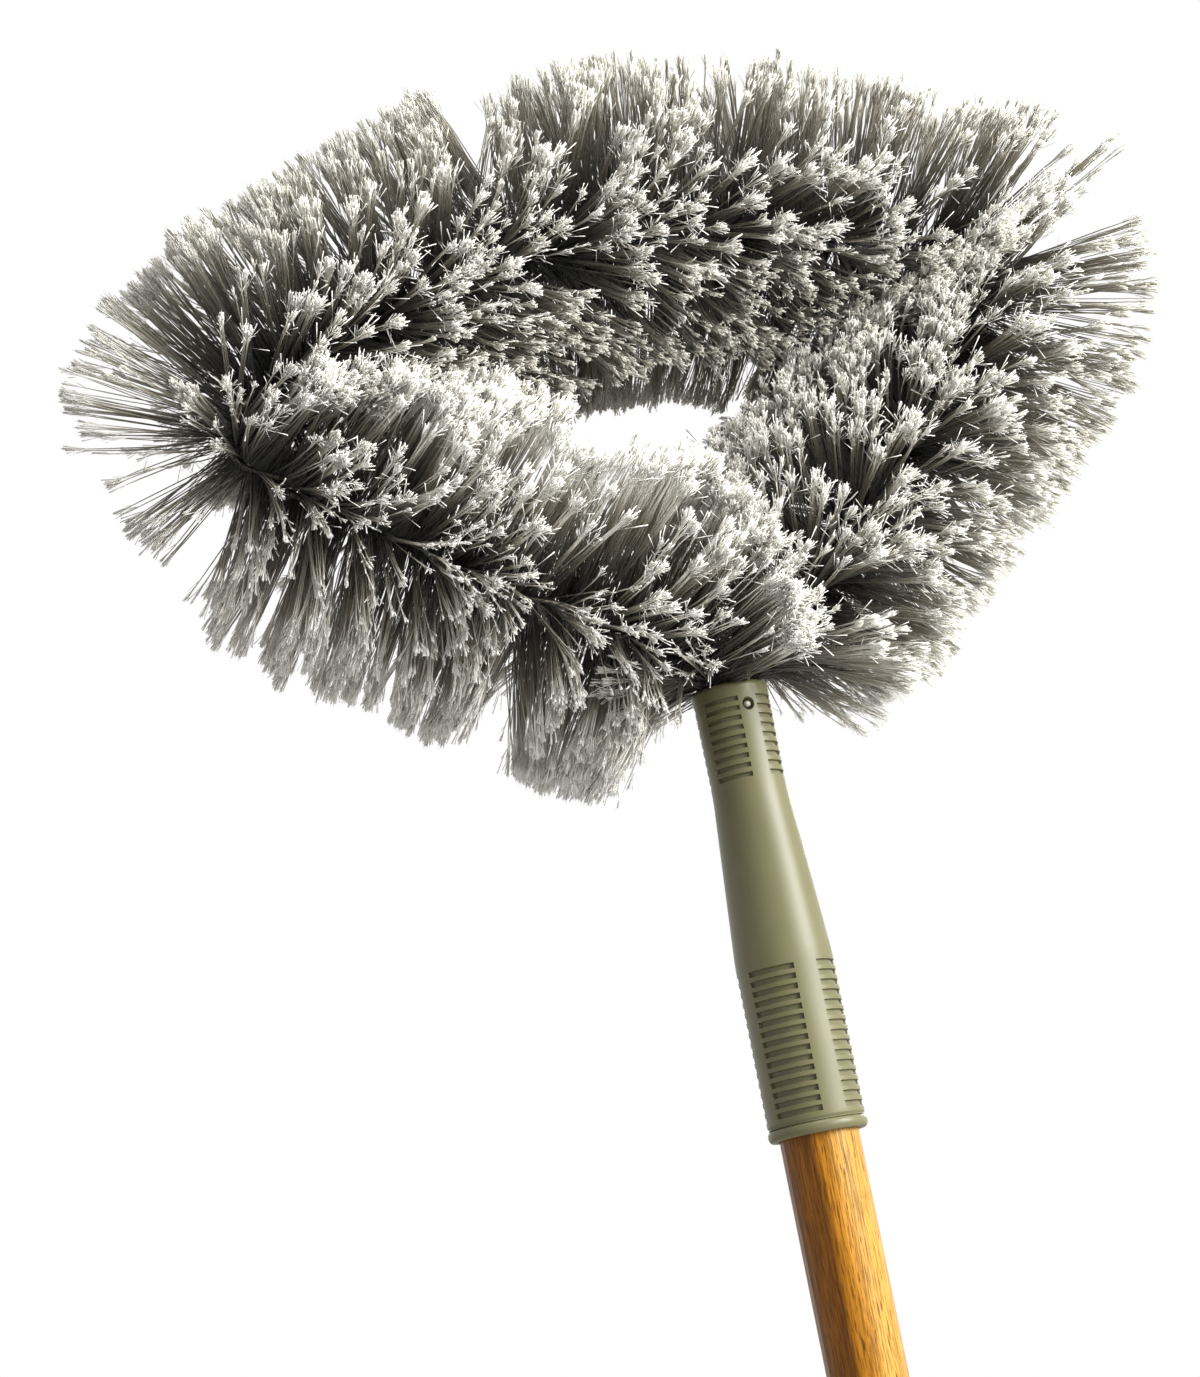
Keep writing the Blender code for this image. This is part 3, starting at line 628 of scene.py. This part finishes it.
def make_socket(material):
    """The moulded socket: turned, its slots sunk in, its edges softened and its pin recesses bored."""
    socket = draw_turned("grip_socket_moulding", socket_rings(), SOCKET_COLUMNS, SOCKET_FOOT)
    slots = socket_slots()

    def in_slot(spot):
        """Whether a face lies in a slot of one of the four panels."""
        height = spot.z - SOCKET_FOOT
        quarter = abs((math.degrees(math.atan2(spot.y, spot.x)) + 45.0) % 90.0 - 45.0)
        if math.hypot(spot.x, spot.y) <= INSIDE_RADIUS or quarter <= PANEL_GAP_DEGREES:
            return False
        return any(low < height < high for low, high in slots)

    bpy.ops.object.mode_set(mode="EDIT")
    select_faces(socket, in_slot)
    bpy.ops.mesh.inset(thickness=0.00006, depth=-SLOT_DEPTH, use_even_offset=True)
    bpy.ops.mesh.select_mode(type="EDGE")
    bpy.ops.mesh.select_all(action="DESELECT")
    work = bmesh.from_edit_mesh(socket.data)
    for edge in work.edges:
        middle = (edge.verts[0].co + edge.verts[1].co) / 2
        if len(edge.link_faces) == 2 and edge.is_convex and middle.z > SOCKET_FOOT + 0.0052:
            outside = math.hypot(middle.x, middle.y) > INSIDE_RADIUS
            if outside and edge.calc_face_angle() > math.radians(50.0):
                edge.select_set(True)
    bmesh.update_edit_mesh(socket.data)
    bpy.ops.mesh.bevel(offset=EDGE_SOFTNESS, segments=3, affect="EDGES", clamp_overlap=True)
    bpy.ops.object.mode_set(mode="OBJECT")
    for side in (-1, 1):
        bore_pin_recess(socket, side)
    smooth(socket, 32.0)
    even = socket.modifiers.new("even_shading", "WEIGHTED_NORMAL")
    even.keep_sharp = True
    apply_modifiers(socket)
    finish_with(socket, material, "sage_plastic", "head", "grip_socket")


def bore_pin_recess(socket, side):
    """The round recess at one end of the cross pin, with a chamfered rim."""
    rings = [(0.0002, 0.0), (0.00155, 0.0), (0.00155, 0.0040), (0.00172, 0.0042), (0.00185, 0.0044)]
    rings += [(0.00185, 0.00515), (0.0026, 0.0060), (0.0026, 0.0080), (0.0002, 0.0080)]
    cutter = draw_turned("recess_cutter", rings, 40, 0.0)
    close_ends(cutter)
    cutter.rotation_euler = (math.radians(-90.0 * side), 0.0, 0.0)
    cutter.location = (0.0, side * 0.0061, PIN_HEIGHT)
    settle(cutter)
    bore = socket.modifiers.new("pin_recess", "BOOLEAN")
    bore.operation = "DIFFERENCE"
    bore.solver = "EXACT"
    bore.object = cutter
    apply_modifiers(socket)
    bpy.data.objects.remove(cutter, do_unlink=True)


def make_pin(material):
    """The cross pin, turned with domed ends."""
    radius, half, dome = 0.00125, 0.0105, 0.0004
    rings = [(0.0001, -half - dome)]
    for end, degrees in ((-1, range(15, 91, 15)), (1, range(90, 14, -15))):
        for a in map(math.radians, degrees):
            rings.append((radius * math.sin(a), end * (half + dome * math.cos(a))))
    rings.append((0.0001, half + dome))
    pin = draw_turned("cross_pin_turned", rings, 32, 0.0)
    close_ends(pin)
    pin.rotation_euler = (math.radians(90.0), 0.0, 0.0)
    pin.location = (0.0, 0.0, PIN_HEIGHT)
    settle(pin)
    smooth(pin)
    finish_with(pin, material, "pin_steel", "head", "cross_pin")


# The core's middle line
def meet(first, first_distance, second, second_distance):
    """The point at these distances from two others, on the right of the way from first to second."""
    way = second - first
    gap = np.hypot(*way)
    along = way / gap
    a = (gap**2 + first_distance**2 - second_distance**2) / (2 * gap)
    h = math.sqrt(max(first_distance**2 - a**2, 0.0))
    return first + along * a + np.array([along[1], -along[0]]) * h


def arc_points(centre, radius, start, end, turn):
    """Points on an arc, turning left for 1 and right for -1."""
    a = math.atan2(start[1] - centre[1], start[0] - centre[0])
    b = math.atan2(end[1] - centre[1], end[0] - centre[0])
    if turn > 0 and b < a:
        b += 2 * math.pi
    if turn < 0 and b > a:
        b -= 2 * math.pi
    sweep = np.linspace(a, b, max(3, math.ceil(abs(b - a) * radius / 0.0005)))
    return np.stack([centre[0] + radius * np.cos(sweep), centre[1] + radius * np.sin(sweep)], axis=1)


def towards(start, end, distance):
    """The point at a distance from start on the way to end."""
    way = end - start
    return start + way / np.hypot(*way) * distance


class Core:
    """The middle line of the twisted wires: straight stems and a chain of tangent arcs."""

    def __init__(self):
        left = np.array(LEFT_CORNER)
        right = np.array(RIGHT_CORNER)
        out_left = np.array([-STEM_X - EXIT_RADIUS, 0.0])
        out_right = np.array([STEM_X + EXIT_RADIUS, 0.0])
        leg_a = meet(out_left, LEFT_LEG_RADIUS + EXIT_RADIUS, left, LEFT_LEG_RADIUS - CORNER_RADIUS)
        crown = meet(left, CROWN_RADIUS - CORNER_RADIUS, right, CROWN_RADIUS - CORNER_RADIUS)
        leg_b = meet(right, RIGHT_LEG_RADIUS - CORNER_RADIUS, out_right, RIGHT_LEG_RADIUS + EXIT_RADIUS)
        joints = [
            np.array([-STEM_X, 0.0]),
            towards(out_left, leg_a, EXIT_RADIUS),
            towards(left, leg_a, -CORNER_RADIUS),
            towards(left, crown, -CORNER_RADIUS),
            towards(right, crown, -CORNER_RADIUS),
            towards(right, leg_b, -CORNER_RADIUS),
            towards(out_right, leg_b, EXIT_RADIUS),
            np.array([STEM_X, 0.0]),
        ]
        arcs = [
            (out_left, EXIT_RADIUS, 1),
            (leg_a, LEFT_LEG_RADIUS, -1),
            (left, CORNER_RADIUS, -1),
            (crown, CROWN_RADIUS, -1),
            (right, CORNER_RADIUS, -1),
            (leg_b, RIGHT_LEG_RADIUS, -1),
            (out_right, EXIT_RADIUS, 1),
        ]
        lines = [np.array([[-STEM_X, -STEM_DEPTH]])]
        for i, (centre, radius, turn) in enumerate(arcs):
            lines.append(arc_points(centre, radius, joints[i], joints[i + 1], turn)[:-1])
        lines.append(np.array([[STEM_X, 0.0], [STEM_X, -STEM_DEPTH]]))
        self.line = np.concatenate(lines)
        self.length = np.concatenate([[0.0], np.cumsum(np.hypot(*np.diff(self.line, axis=0).T))])
        self.total = self.length[-1]

    def point(self, s):
        """Points at lengths s."""
        x = np.interp(s, self.length, self.line[:, 0])
        z = np.interp(s, self.length, self.line[:, 1]) + SOCKET_TOP
        return np.stack([x, np.zeros_like(x), z], axis=-1)

    def along(self, s):
        """Directions at lengths s."""
        s = np.clip(s, 0.0006, self.total - 0.0006)
        way = self.point(s + 0.0006) - self.point(s - 0.0006)
        return way / np.linalg.norm(way, axis=-1, keepdims=True)

    def outward(self, s):
        """Directions in the loop's plane that point away from its middle."""
        way = self.along(s)
        return np.stack([-way[..., 2], np.zeros_like(way[..., 0]), way[..., 0]], axis=-1)

    def twist(self, s):
        """Angles of the bristle band round the core."""
        return BAND_START_ANGLE + math.pi * HALF_TURNS * np.asarray(s) / self.total

    def across(self, s, angle):
        """Directions at angles round the core: 0 is out of the loop, and a quarter turn is +Y."""
        angle = np.asarray(angle)[..., None]
        return self.outward(s) * np.cos(angle) + np.array([0.0, 1.0, 0.0]) * np.sin(angle)


def make_wires(core, material):
    """The two wires of the core, each a long helix with its feet bent outwards under the plug."""
    for name, side in (("core_wire_a", 1), ("core_wire_b", -1)):
        s = np.linspace(0.0, core.total, 560)
        route = core.point(s) + core.across(s, core.twist(s) + side * math.pi / 2) * WIRE_OFFSET
        feet = []
        for end in (0, -1):
            last = route[end]
            lean = math.copysign(1.0, last[1])
            bend = 0.002
            foot = []
            for a in map(math.radians, range(10, 91, 10)):
                sunk = np.array([0.0, lean * bend * (1 - math.cos(a)), -bend * math.sin(a)])
                foot.append(last + sunk)
            foot.append(foot[-1] + np.array([0.0, lean * 0.001, 0.0]))
            feet.append(foot)
        route = np.concatenate([np.array(feet[0][::-1]), route, np.array(feet[1])])
        curve = bpy.data.curves.new(name + "_strand", "CURVE")
        curve.dimensions = "3D"
        curve.bevel_depth = WIRE_RADIUS
        curve.bevel_resolution = 4
        curve.use_fill_caps = True
        spline = curve.splines.new("POLY")
        spline.points.add(len(route) - 1)
        flat = np.concatenate([route, np.ones((len(route), 1))], axis=1)
        spline.points.foreach_set("co", flat.ravel())
        spline.use_smooth = True
        wire = bpy.data.objects.new(name + "_strand", curve)
        bpy.context.scene.collection.objects.link(wire)
        pick(wire)
        bpy.ops.object.convert(target="MESH")
        wire = bpy.context.object
        smooth(wire)
        finish_with(wire, material, "galvanised_wire", "head", name)


# The bristles
def unit(vectors):
    """Vectors brought to length 1."""
    return vectors / np.maximum(np.linalg.norm(vectors, axis=-1, keepdims=True), 1e-9)


def room_inside(core, s):
    """How far from the core the loop's middle is, along the inward direction at lengths s."""
    line = core.point(np.linspace(0.0, core.total, 700))
    rooms = []
    for root, inward in zip(core.point(s), -core.outward(s)):
        gap = line - root
        ahead = gap @ inward
        square = (gap**2).sum(axis=1)
        fair = (ahead > 0.0) & (square > 0.002**2)
        least = (square[fair] / (2 * ahead[fair])).min() if fair.any() else MOST_ROOM
        rooms.append(min(MOST_ROOM, least))
    return np.array(rooms)


def part_rim(core):
    """Where the outer rim parts: the wide partings, and slighter ones all along."""
    rng = np.random.default_rng(77)
    partings = list(PARTINGS)
    s = RIM_ENDS
    while s < core.total - RIM_ENDS:
        if min(abs(s - place) for place, _, _ in PARTINGS) > 0.006:
            partings.append((s, rng.uniform(0.012, 0.045), rng.uniform(0.002, 0.004)))
        s += rng.uniform(0.008, 0.018)
    return partings


def grow_tufts(core, rooms, partings, rng, low, high):
    """One slice's tufts: their middle lines from the core out, their starts and how split they are."""
    # Where they start, alone or in bundles, and their angle round the core
    tufts = TUFTS_A_SLICE
    bundles = tufts // TUFTS_A_BUNDLE
    own = rng.integers(0, bundles, tufts)
    s_bundle = rng.uniform(low, high, bundles)
    side = rng.integers(0, 2, bundles) * math.pi
    angle = core.twist(s_bundle) + side + rng.normal(0.0, TUFT_SWING, bundles)
    loose = rng.random(tufts) < LOOSE_SHARE
    s_alone = rng.uniform(low, high, tufts)
    s = np.where(loose, s_alone, s_bundle[own] + rng.normal(0.0, BUNDLE_SPREAD, tufts))
    s = np.clip(s, low, high)
    alone = core.twist(s) + rng.integers(0, 2, tufts) * math.pi + rng.normal(0.0, TUFT_SWING, tufts)
    angle = np.where(loose, alone, angle[own] + rng.normal(0.0, BUNDLE_SWING, tufts))
    angle -= SIDES_THINNED * np.sin(2.0 * angle)
    out = np.cos(angle)
    outer = np.clip(out * 1.3, 0.0, 1.0)
    # Their lean along the core, and their length
    lean = rng.normal(0.0, 0.04, bundles)[own] + rng.normal(0.0, 0.05, tufts)
    lean *= np.where(s < 0.19, 1.0 - 0.4 * outer, 1.0)
    lean += np.clip(out, 0.0, 1.0) * np.interp(s, LEAN_PLACES, LEANS)
    for place, push, width in partings:
        lean += outer * push * np.sign(s - place) * np.exp(-np.abs(s - place) / width)
    shared = rng.normal(0.0, 0.024, bundles)[own] * ~loose
    reach = BRISTLE_REACH * (0.995 + shared + rng.normal(0.0, 0.018, tufts))
    reach *= 1.0 + outer * (np.interp(s, REACH_PLACES, REACHES) - 1.0)
    reach *= 1.0 + np.clip(-out, 0.0, 1.0) * (np.interp(s, INNER_PLACES, INNER_REACHES) - 1.0)
    # Their way out, turned aside before it reaches the loop's middle
    way = unit(core.across(s, angle) + core.along(s) * lean[:, None])
    inward = -core.outward(s)
    room = np.interp(s, *rooms) * rng.uniform(1.0, 1.25, tufts)
    gain = (way * inward).sum(axis=1)
    sign = np.where(way[:, 1] >= 0.0, 1.0, -1.0)
    deep = np.zeros(tufts)
    path = np.zeros((tufts, TUFT_STEPS + 1, 3))
    path[:, 0] = core.point(s) + core.across(s, angle) * TUFT_FOOT
    for i in range(TUFT_STEPS):
        fill = np.clip(deep / room, 0.0, 1.0)
        slow = np.where(gain > 0.0, 1.0 - fill**3, 1.0)
        turned = way - inward * (gain * (1.0 - slow))[:, None]
        lost = np.sqrt(np.maximum(1.0 - (turned**2).sum(axis=1), 0.0))
        turned = unit(turned + np.array([0.0, 1.0, 0.0]) * (sign * lost)[:, None])
        path[:, i + 1] = path[:, i] + turned * (reach / TUFT_STEPS)[:, None]
        deep = deep + np.maximum((turned * inward).sum(axis=1), 0.0) * reach / TUFT_STEPS
    t = np.linspace(0.0, 1.0, TUFT_STEPS + 1)
    bow = unit(rng.normal(size=(tufts, 3))) * rng.uniform(0.0, TUFT_BOW, tufts)[:, None]
    path += bow[:, None, :] * (4 * t * (1 - t) + 0.6 * t)[None, :, None]
    path = open_gaps(draw_sheaves(path))
    path[..., 1] *= np.minimum(1.0, BAND_HALF_DEPTH / np.abs(path[..., 1]).max(axis=1))[:, None]
    # How split their tips are
    fray = 1.0 + np.clip((out - 0.18) / 0.42, 0.0, 1.0) * (np.interp(s, FRAY_PLACES, OUTER_FRAYS) - 1.0)
    fray += np.clip((-out - 0.30) / 0.45, 0.0, 1.0) * (np.interp(s, FRAY_PLACES, INNER_FRAYS) - 1.0)
    fray *= rng.uniform(0.75, 1.10, tufts) * np.where(rng.random(tufts) < 0.08, 0.3, 1.0)
    return path, s, np.clip(fray, 0.0, 1.0)


def seen_flat(points):
    """Where points show on the loop's plane, from the photographed side."""
    share = EYE[1] / (EYE[1] - points[..., 1])
    x = EYE[0] + (points[..., 0] - EYE[0]) * share
    z = EYE[2] + (points[..., 2] - SOCKET_TOP - EYE[2]) * share
    return x, z


def turn_about(path, x, z):
    """How far the tips lie from a corner of the loop, and in which direction, in degrees."""
    tip_x, tip_z = seen_flat(path[:, -1])
    away_x = tip_x - x
    away_z = tip_z - z
    return np.hypot(away_x, away_z), np.degrees(np.arctan2(away_z, away_x)) % 360.0


def draw_sheaves(path):
    """Make the tufts longer or shorter in a few directions from the corners."""
    for x, z, turn, half, share in SHEAVES:
        far, way = turn_about(path, x, z)
        there = np.clip(2.0 - 2.0 * np.abs(way - turn) / half, 0.0, 1.0) * (far > CORNER_CLEAR)
        root = path[:, :1]
        path = root + (path - root) * (1.0 + (share - 1.0) * there)[:, None, None]
    return path


def open_gaps(path):
    """Part the tufts that would lie across a gap of the rim, as it shows from the photographed side."""
    grown = np.linspace(0.0, 1.0, path.shape[1]) ** 2
    for x, z, rim_x, rim_z, half in GAPS:
        way = np.array([rim_x - x, rim_z - z])
        size = np.hypot(*way)
        tip_x, tip_z = seen_flat(path[:, -1])
        along = ((tip_x - x) * way[0] + (tip_z - z) * way[1]) / size**2
        aside = ((tip_z - z) * way[0] - (tip_x - x) * way[1]) / size
        wide = half * (0.35 + 0.65 * np.clip(along, 0.0, 1.3))
        near = np.abs(aside) / wide
        inside = (along > -0.1) & (along < 1.6) & (near < 2.5)
        push = np.where(inside, (1.0 - 0.4 * near) * wide, 0.0)
        push = push * np.where(aside < 0.0, -1.0, 1.0) / size
        path[..., 0] -= (push * way[1])[:, None] * grown
        path[..., 2] += (push * way[0])[:, None] * grown
    return path


def trim_tufts(path, rng):
    """The share of each tuft that stays clear of the window and the socket. A tuft left out has 0."""
    tufts, stops = path.shape[:2]
    x, y, z = path[..., 0], path[..., 1], path[..., 2] - SOCKET_TOP
    seen_x, seen_z = seen_flat(path)
    size = rng.uniform(0.94, 1.10, (tufts, 1))
    wide = np.abs((seen_x - WINDOW_MIDDLE[0]) / (WINDOW_HALF[0] * size)) ** 3
    tall = np.abs((seen_z - WINDOW_MIDDLE[1]) / (WINDOW_HALF[1] * size)) ** 3
    barred = wide + tall < 1.0
    first = np.where(barred.any(axis=1), barred.argmax(axis=1), stops)
    keep = (first - 1) / (stops - 1)
    low = (np.hypot(x, y) < SOCKET_CLEAR) & (z < 0.0006)
    low |= (np.abs(seen_x) < SEEN_SOCKET_CLEAR) & (z < -0.004)
    low[:, :2] = False
    thinned = low.any(axis=1)
    for corner_x, corner_z, turn, half, share in SPARSE:
        far, way = turn_about(path, corner_x, corner_z)
        thinned |= (np.abs(way - turn) < half) & (far > CORNER_CLEAR) & (rng.random(tufts) < share)
    return np.where(thinned, 0.0, keep)


def spread_filaments(core, path, s, fray, keep, rng):
    """Middle lines of the filaments: apart where they leave the core, close together at the tip."""
    count = FILAMENTS_A_SLICE
    own = np.sort(rng.integers(0, len(path), count))
    t = np.linspace(0.0, 1.0, path.shape[1])[None, :, None]
    root = core.point(s[own] + rng.normal(0.0, ROOT_SPREAD, count)) - core.point(s[own])
    way = unit(path[own, -1] - path[own, -4])
    first = unit(np.cross(way, core.along(s[own])))
    second = np.cross(way, first)
    wide = rng.uniform(*TIP_SPREADS, len(path))[own] * np.sqrt(rng.random(count))
    wide = np.where(rng.random(count) < STRAY_SHARE, rng.uniform(*STRAY_SPREADS, count), wide)
    spin = rng.uniform(0.0, 2 * math.pi, count)
    tip = (first * np.cos(spin)[:, None] + second * np.sin(spin)[:, None]) * wide[:, None]
    bow = unit(rng.normal(size=(count, 3))) * rng.uniform(0.0, FILAMENT_BOW, count)[:, None]
    line = path[own] + root[:, None, :] * (1.0 - t) + tip[:, None, :] * t
    line = line + bow[:, None, :] * 4 * t * (1.0 - t)
    keep = np.clip(keep[own] * (1.0 + rng.normal(-0.008, 0.010, count)), 0.0, 1.0)
    return line, keep, unit(tip), fray[own], s[own]


def read_paths(path, shares, keep):
    """Points of each path at shares of its kept length."""
    stops = path.shape[1] - 1
    place = np.clip(shares * keep[:, None] * stops, 0.0, stops - 1e-6)
    low = place.astype(int)
    part = (place - low)[..., None]
    rows = np.arange(len(path))[:, None]
    return path[rows, low] * (1 - part) + path[rows, low + 1] * part


class Weave:
    """Points, faces and map of many thin closed forms, gathered into one mesh."""

    def __init__(self):
        self.points = []
        self.corners = []
        self.sizes = []
        self.maps = []
        self.total = 0

    def add(self, points, faces, u, v):
        """Add forms with the same faces. Points are (forms, corners, 3), u and v (forms, corners).

        The last face closes a form's foot. One of its corners is lifted, so that it isn't flat on the map.
        """
        forms, each = points.shape[:2]
        self.points.append(points.reshape(-1, 3))
        base = self.total + each * np.arange(forms)[:, None, None]
        for size in (3, 4):
            picked = np.array([face for face in faces if len(face) == size])
            if len(picked):
                self.corners.append((base + picked[None]).reshape(-1))
                self.sizes.append(np.full(forms * len(picked), size))
                flat = np.stack([u[:, picked], v[:, picked]], axis=-1)
                if size == 3:
                    flat[:, -1, 1, 1] += FOOT_MAP_LIFT
                self.maps.append(flat.reshape(-1, 2))
        self.total += forms * each

    def make(self, name):
        """The mesh, as an object."""
        corners = np.concatenate(self.corners).astype(np.int32)
        sizes = np.concatenate(self.sizes)
        mesh = bpy.data.meshes.new(name)
        mesh.vertices.add(self.total)
        mesh.vertices.foreach_set("co", np.concatenate(self.points).astype(np.float32).ravel())
        mesh.loops.add(len(corners))
        mesh.loops.foreach_set("vertex_index", corners)
        mesh.polygons.add(len(sizes))
        mesh.polygons.foreach_set("loop_start", (np.cumsum(sizes) - sizes).astype(np.int32))
        layer = mesh.uv_layers.new(name="OFBake")
        layer.data.foreach_set("uv", np.concatenate(self.maps).astype(np.float32).ravel())
        mesh.update(calc_edges=True)
        mesh.validate()
        mesh.shade_smooth()
        piece = bpy.data.objects.new(name, mesh)
        bpy.context.scene.collection.objects.link(piece)
        return piece


def frame_round(way, beside):
    """Two directions square to a way and to each other."""
    first = unit(np.cross(way, beside))
    return first, np.cross(way, first)


def three_corners(middle, first, second, thick):
    """The corners of a three-sided form round its middle line."""
    corners = []
    for i in range(3):
        a = 2 * math.pi * i / 3
        corners.append(middle + (first * math.cos(a) + second * math.sin(a)) * thick[..., None])
    return corners


def weave_shafts(weave, path, thick, u, v):
    """Three-sided filaments that end in a point. Path is (count, rings, 3), v (count, rings)."""
    rings = path.shape[1]
    way = unit(np.gradient(path, axis=1))
    corners = three_corners(path, *frame_round(way, np.array([0.31, 0.17, 0.93])), thick)
    body = np.stack(corners, axis=2)[:, :-1].reshape(len(path), -1, 3)
    points = np.concatenate([body, path[:, -1:]], axis=1)
    faces = []
    for i in range(rings - 2):
        for j in range(3):
            k = (j + 1) % 3
            faces.append((3 * i + j, 3 * i + k, 3 * i + 3 + k, 3 * i + 3 + j))
    last = 3 * (rings - 2)
    point = last + 3
    faces += [(last, last + 1, point), (last + 1, last + 2, point), (last + 2, last, point), (2, 1, 0)]
    across = np.concatenate([np.tile(ACROSS_CELL, rings - 1), [0.5]])
    along = np.concatenate([np.repeat(v[:, :-1], 3, axis=1), v[:, -1:]], axis=1)
    weave.add(points, faces, (u[:, None] + across) / CELLS, along)


def weave_hairs(weave, foot, way, length, thick, u, rng, pale):
    """Split ends, three-sided needles. Foot and way are (count, 3), pale is V at foot and point."""
    corners = three_corners(foot, *frame_round(way, unit(rng.normal(size=way.shape))), thick)
    corners.append(foot + way * length[:, None])
    points = np.stack(corners, axis=1)
    faces = [(0, 1, 3), (1, 2, 3), (2, 0, 3), (2, 1, 0)]
    across = np.append(ACROSS_CELL, 0.5)
    along = np.minimum(np.stack([pale[0], pale[0], pale[0], pale[1]], axis=1), PALEST)
    weave.add(points, faces, (u[:, None] + across) / CELLS, along)


def make_bristles(core, material):
    """Every slice of the bristle band, as its filaments and their split ends."""
    grid = np.linspace(0.0, core.total, 500)
    rooms = (grid, room_inside(core, grid))
    partings = part_rim(core)
    first = STEM_DEPTH + BAND_START
    width = (core.total - 2 * first) / SLICES
    for number in range(SLICES):
        rng = np.random.default_rng(4100 + number)
        low = first + width * number
        high = low + width
        if number == 0:
            low -= END_SLICE_EXTRA
        if number == SLICES - 1:
            high += END_SLICE_EXTRA
        path, s, fray = grow_tufts(core, rooms, partings, rng, low, high)
        keep = trim_tufts(path, rng)
        stays = keep > 0.25
        tufts = (path[stays], s[stays], fray[stays], keep[stays])
        make_slice(number, material, rng, *spread_filaments(core, *tufts, rng))


def make_slice(number, material, rng, path, keep, aside, fray, s):
    """One slice: its shafts, and the split ends at the tip of each."""
    count = len(path)
    weave = Weave()
    shares = np.tile(np.array([0.0, 0.40, 0.78, 0.91, 1.0]), (count, 1))
    shaft = read_paths(path, shares, keep)
    thinner = np.array([[1.0, 1.0, 1.0, 0.85, 0.0]])
    thick = FILAMENT_RADIUS * rng.uniform(0.85, 1.15, (count, 1)) * thinner
    u = rng.integers(0, CELLS, count).astype(float)
    worn = fray[:, None]
    clean_ends = np.array([0.02, 0.32, 0.56, 0.64, 0.70])
    split_ends = np.array([0.02, 0.36, 0.68, 0.85, 0.94])
    # The filaments are made paler along the core. On the left leg this is painted light, where the main lamp
    # reaches little.
    paling_and_light = np.interp(s, PALING_PLACES, PALING_AND_PAINTED_LIGHT)
    out_along = clean_ends * (1.0 - worn) + split_ends * worn + paling_and_light[:, None]
    weave_shafts(weave, shaft, thick, u, np.minimum(out_along, PALEST))
    tip = shaft[:, -1]
    way = unit(shaft[:, -1] - shaft[:, -2])
    for hair in range(HAIRS_A_TIP):
        # Every other end is blunt and thickens outwards, and the rest taper to a point
        blunt = hair % 2 == 0
        back = (BLUNT_BACK if blunt else FINE_BACK) * rng.random(count) ** (0.9 if blunt else 1.3)
        back = back * (0.78 + 0.44 * fray)
        side = unit(unit(rng.normal(size=(count, 3))) * 0.8 + aside * 0.6)
        side = unit(side - way * (side * way).sum(axis=1, keepdims=True))
        wild = (rng.random(count) < 0.14) * rng.uniform(0.2, 0.9, count)
        spread = 0.02 + np.abs(rng.normal(0.0, 0.12 if blunt else 0.42, count))
        spread = spread + (wild if blunt else 0.0)
        spread = np.minimum(spread, 1.3) * (0.12 + 0.88 * fray)
        out = way * np.cos(spread)[:, None] + side * np.sin(spread)[:, None]
        foot = tip - way * back[:, None]
        if blunt:
            length = back + rng.uniform(0.0004, 0.0016, count)
            size = rng.uniform(*BLUNT_RADII, count)
            pale = (0.69 + 0.28 * fray + paling_and_light, 0.62 + 0.18 * fray + paling_and_light)
            weave_hairs(weave, foot + out * length[:, None], -out, length, size, u, rng, pale)
        else:
            length = np.clip(back * rng.uniform(0.5, 1.0, count), *FINE_LENGTHS)
            length = length + rng.uniform(0.0002, 0.0012, count)
            size = rng.uniform(*FINE_RADII, count)
            pale = (0.63 + 0.23 * fray + paling_and_light, 0.70 + 0.27 * fray + paling_and_light)
            weave_hairs(weave, foot, out, length, size, u, rng, pale)
    tufts = weave.make(f"bristle_tufts_{number + 1:02d}")
    finish_with(tufts, material, "grey_bristle", "head", f"bristles_{number + 1:02d}")


place_camera()
light_studio()
lay_floor()
coat(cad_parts["wood_pole"], varnished_wood())
coat(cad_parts["stem_plug"], plug_plastic())
make_socket(sage_plastic())
make_pin(pin_steel())
core = Core()
make_wires(core, dull_wire())
make_bristles(core, bristle_grey())

bpy.context.scene.view_settings.view_transform = "Standard"
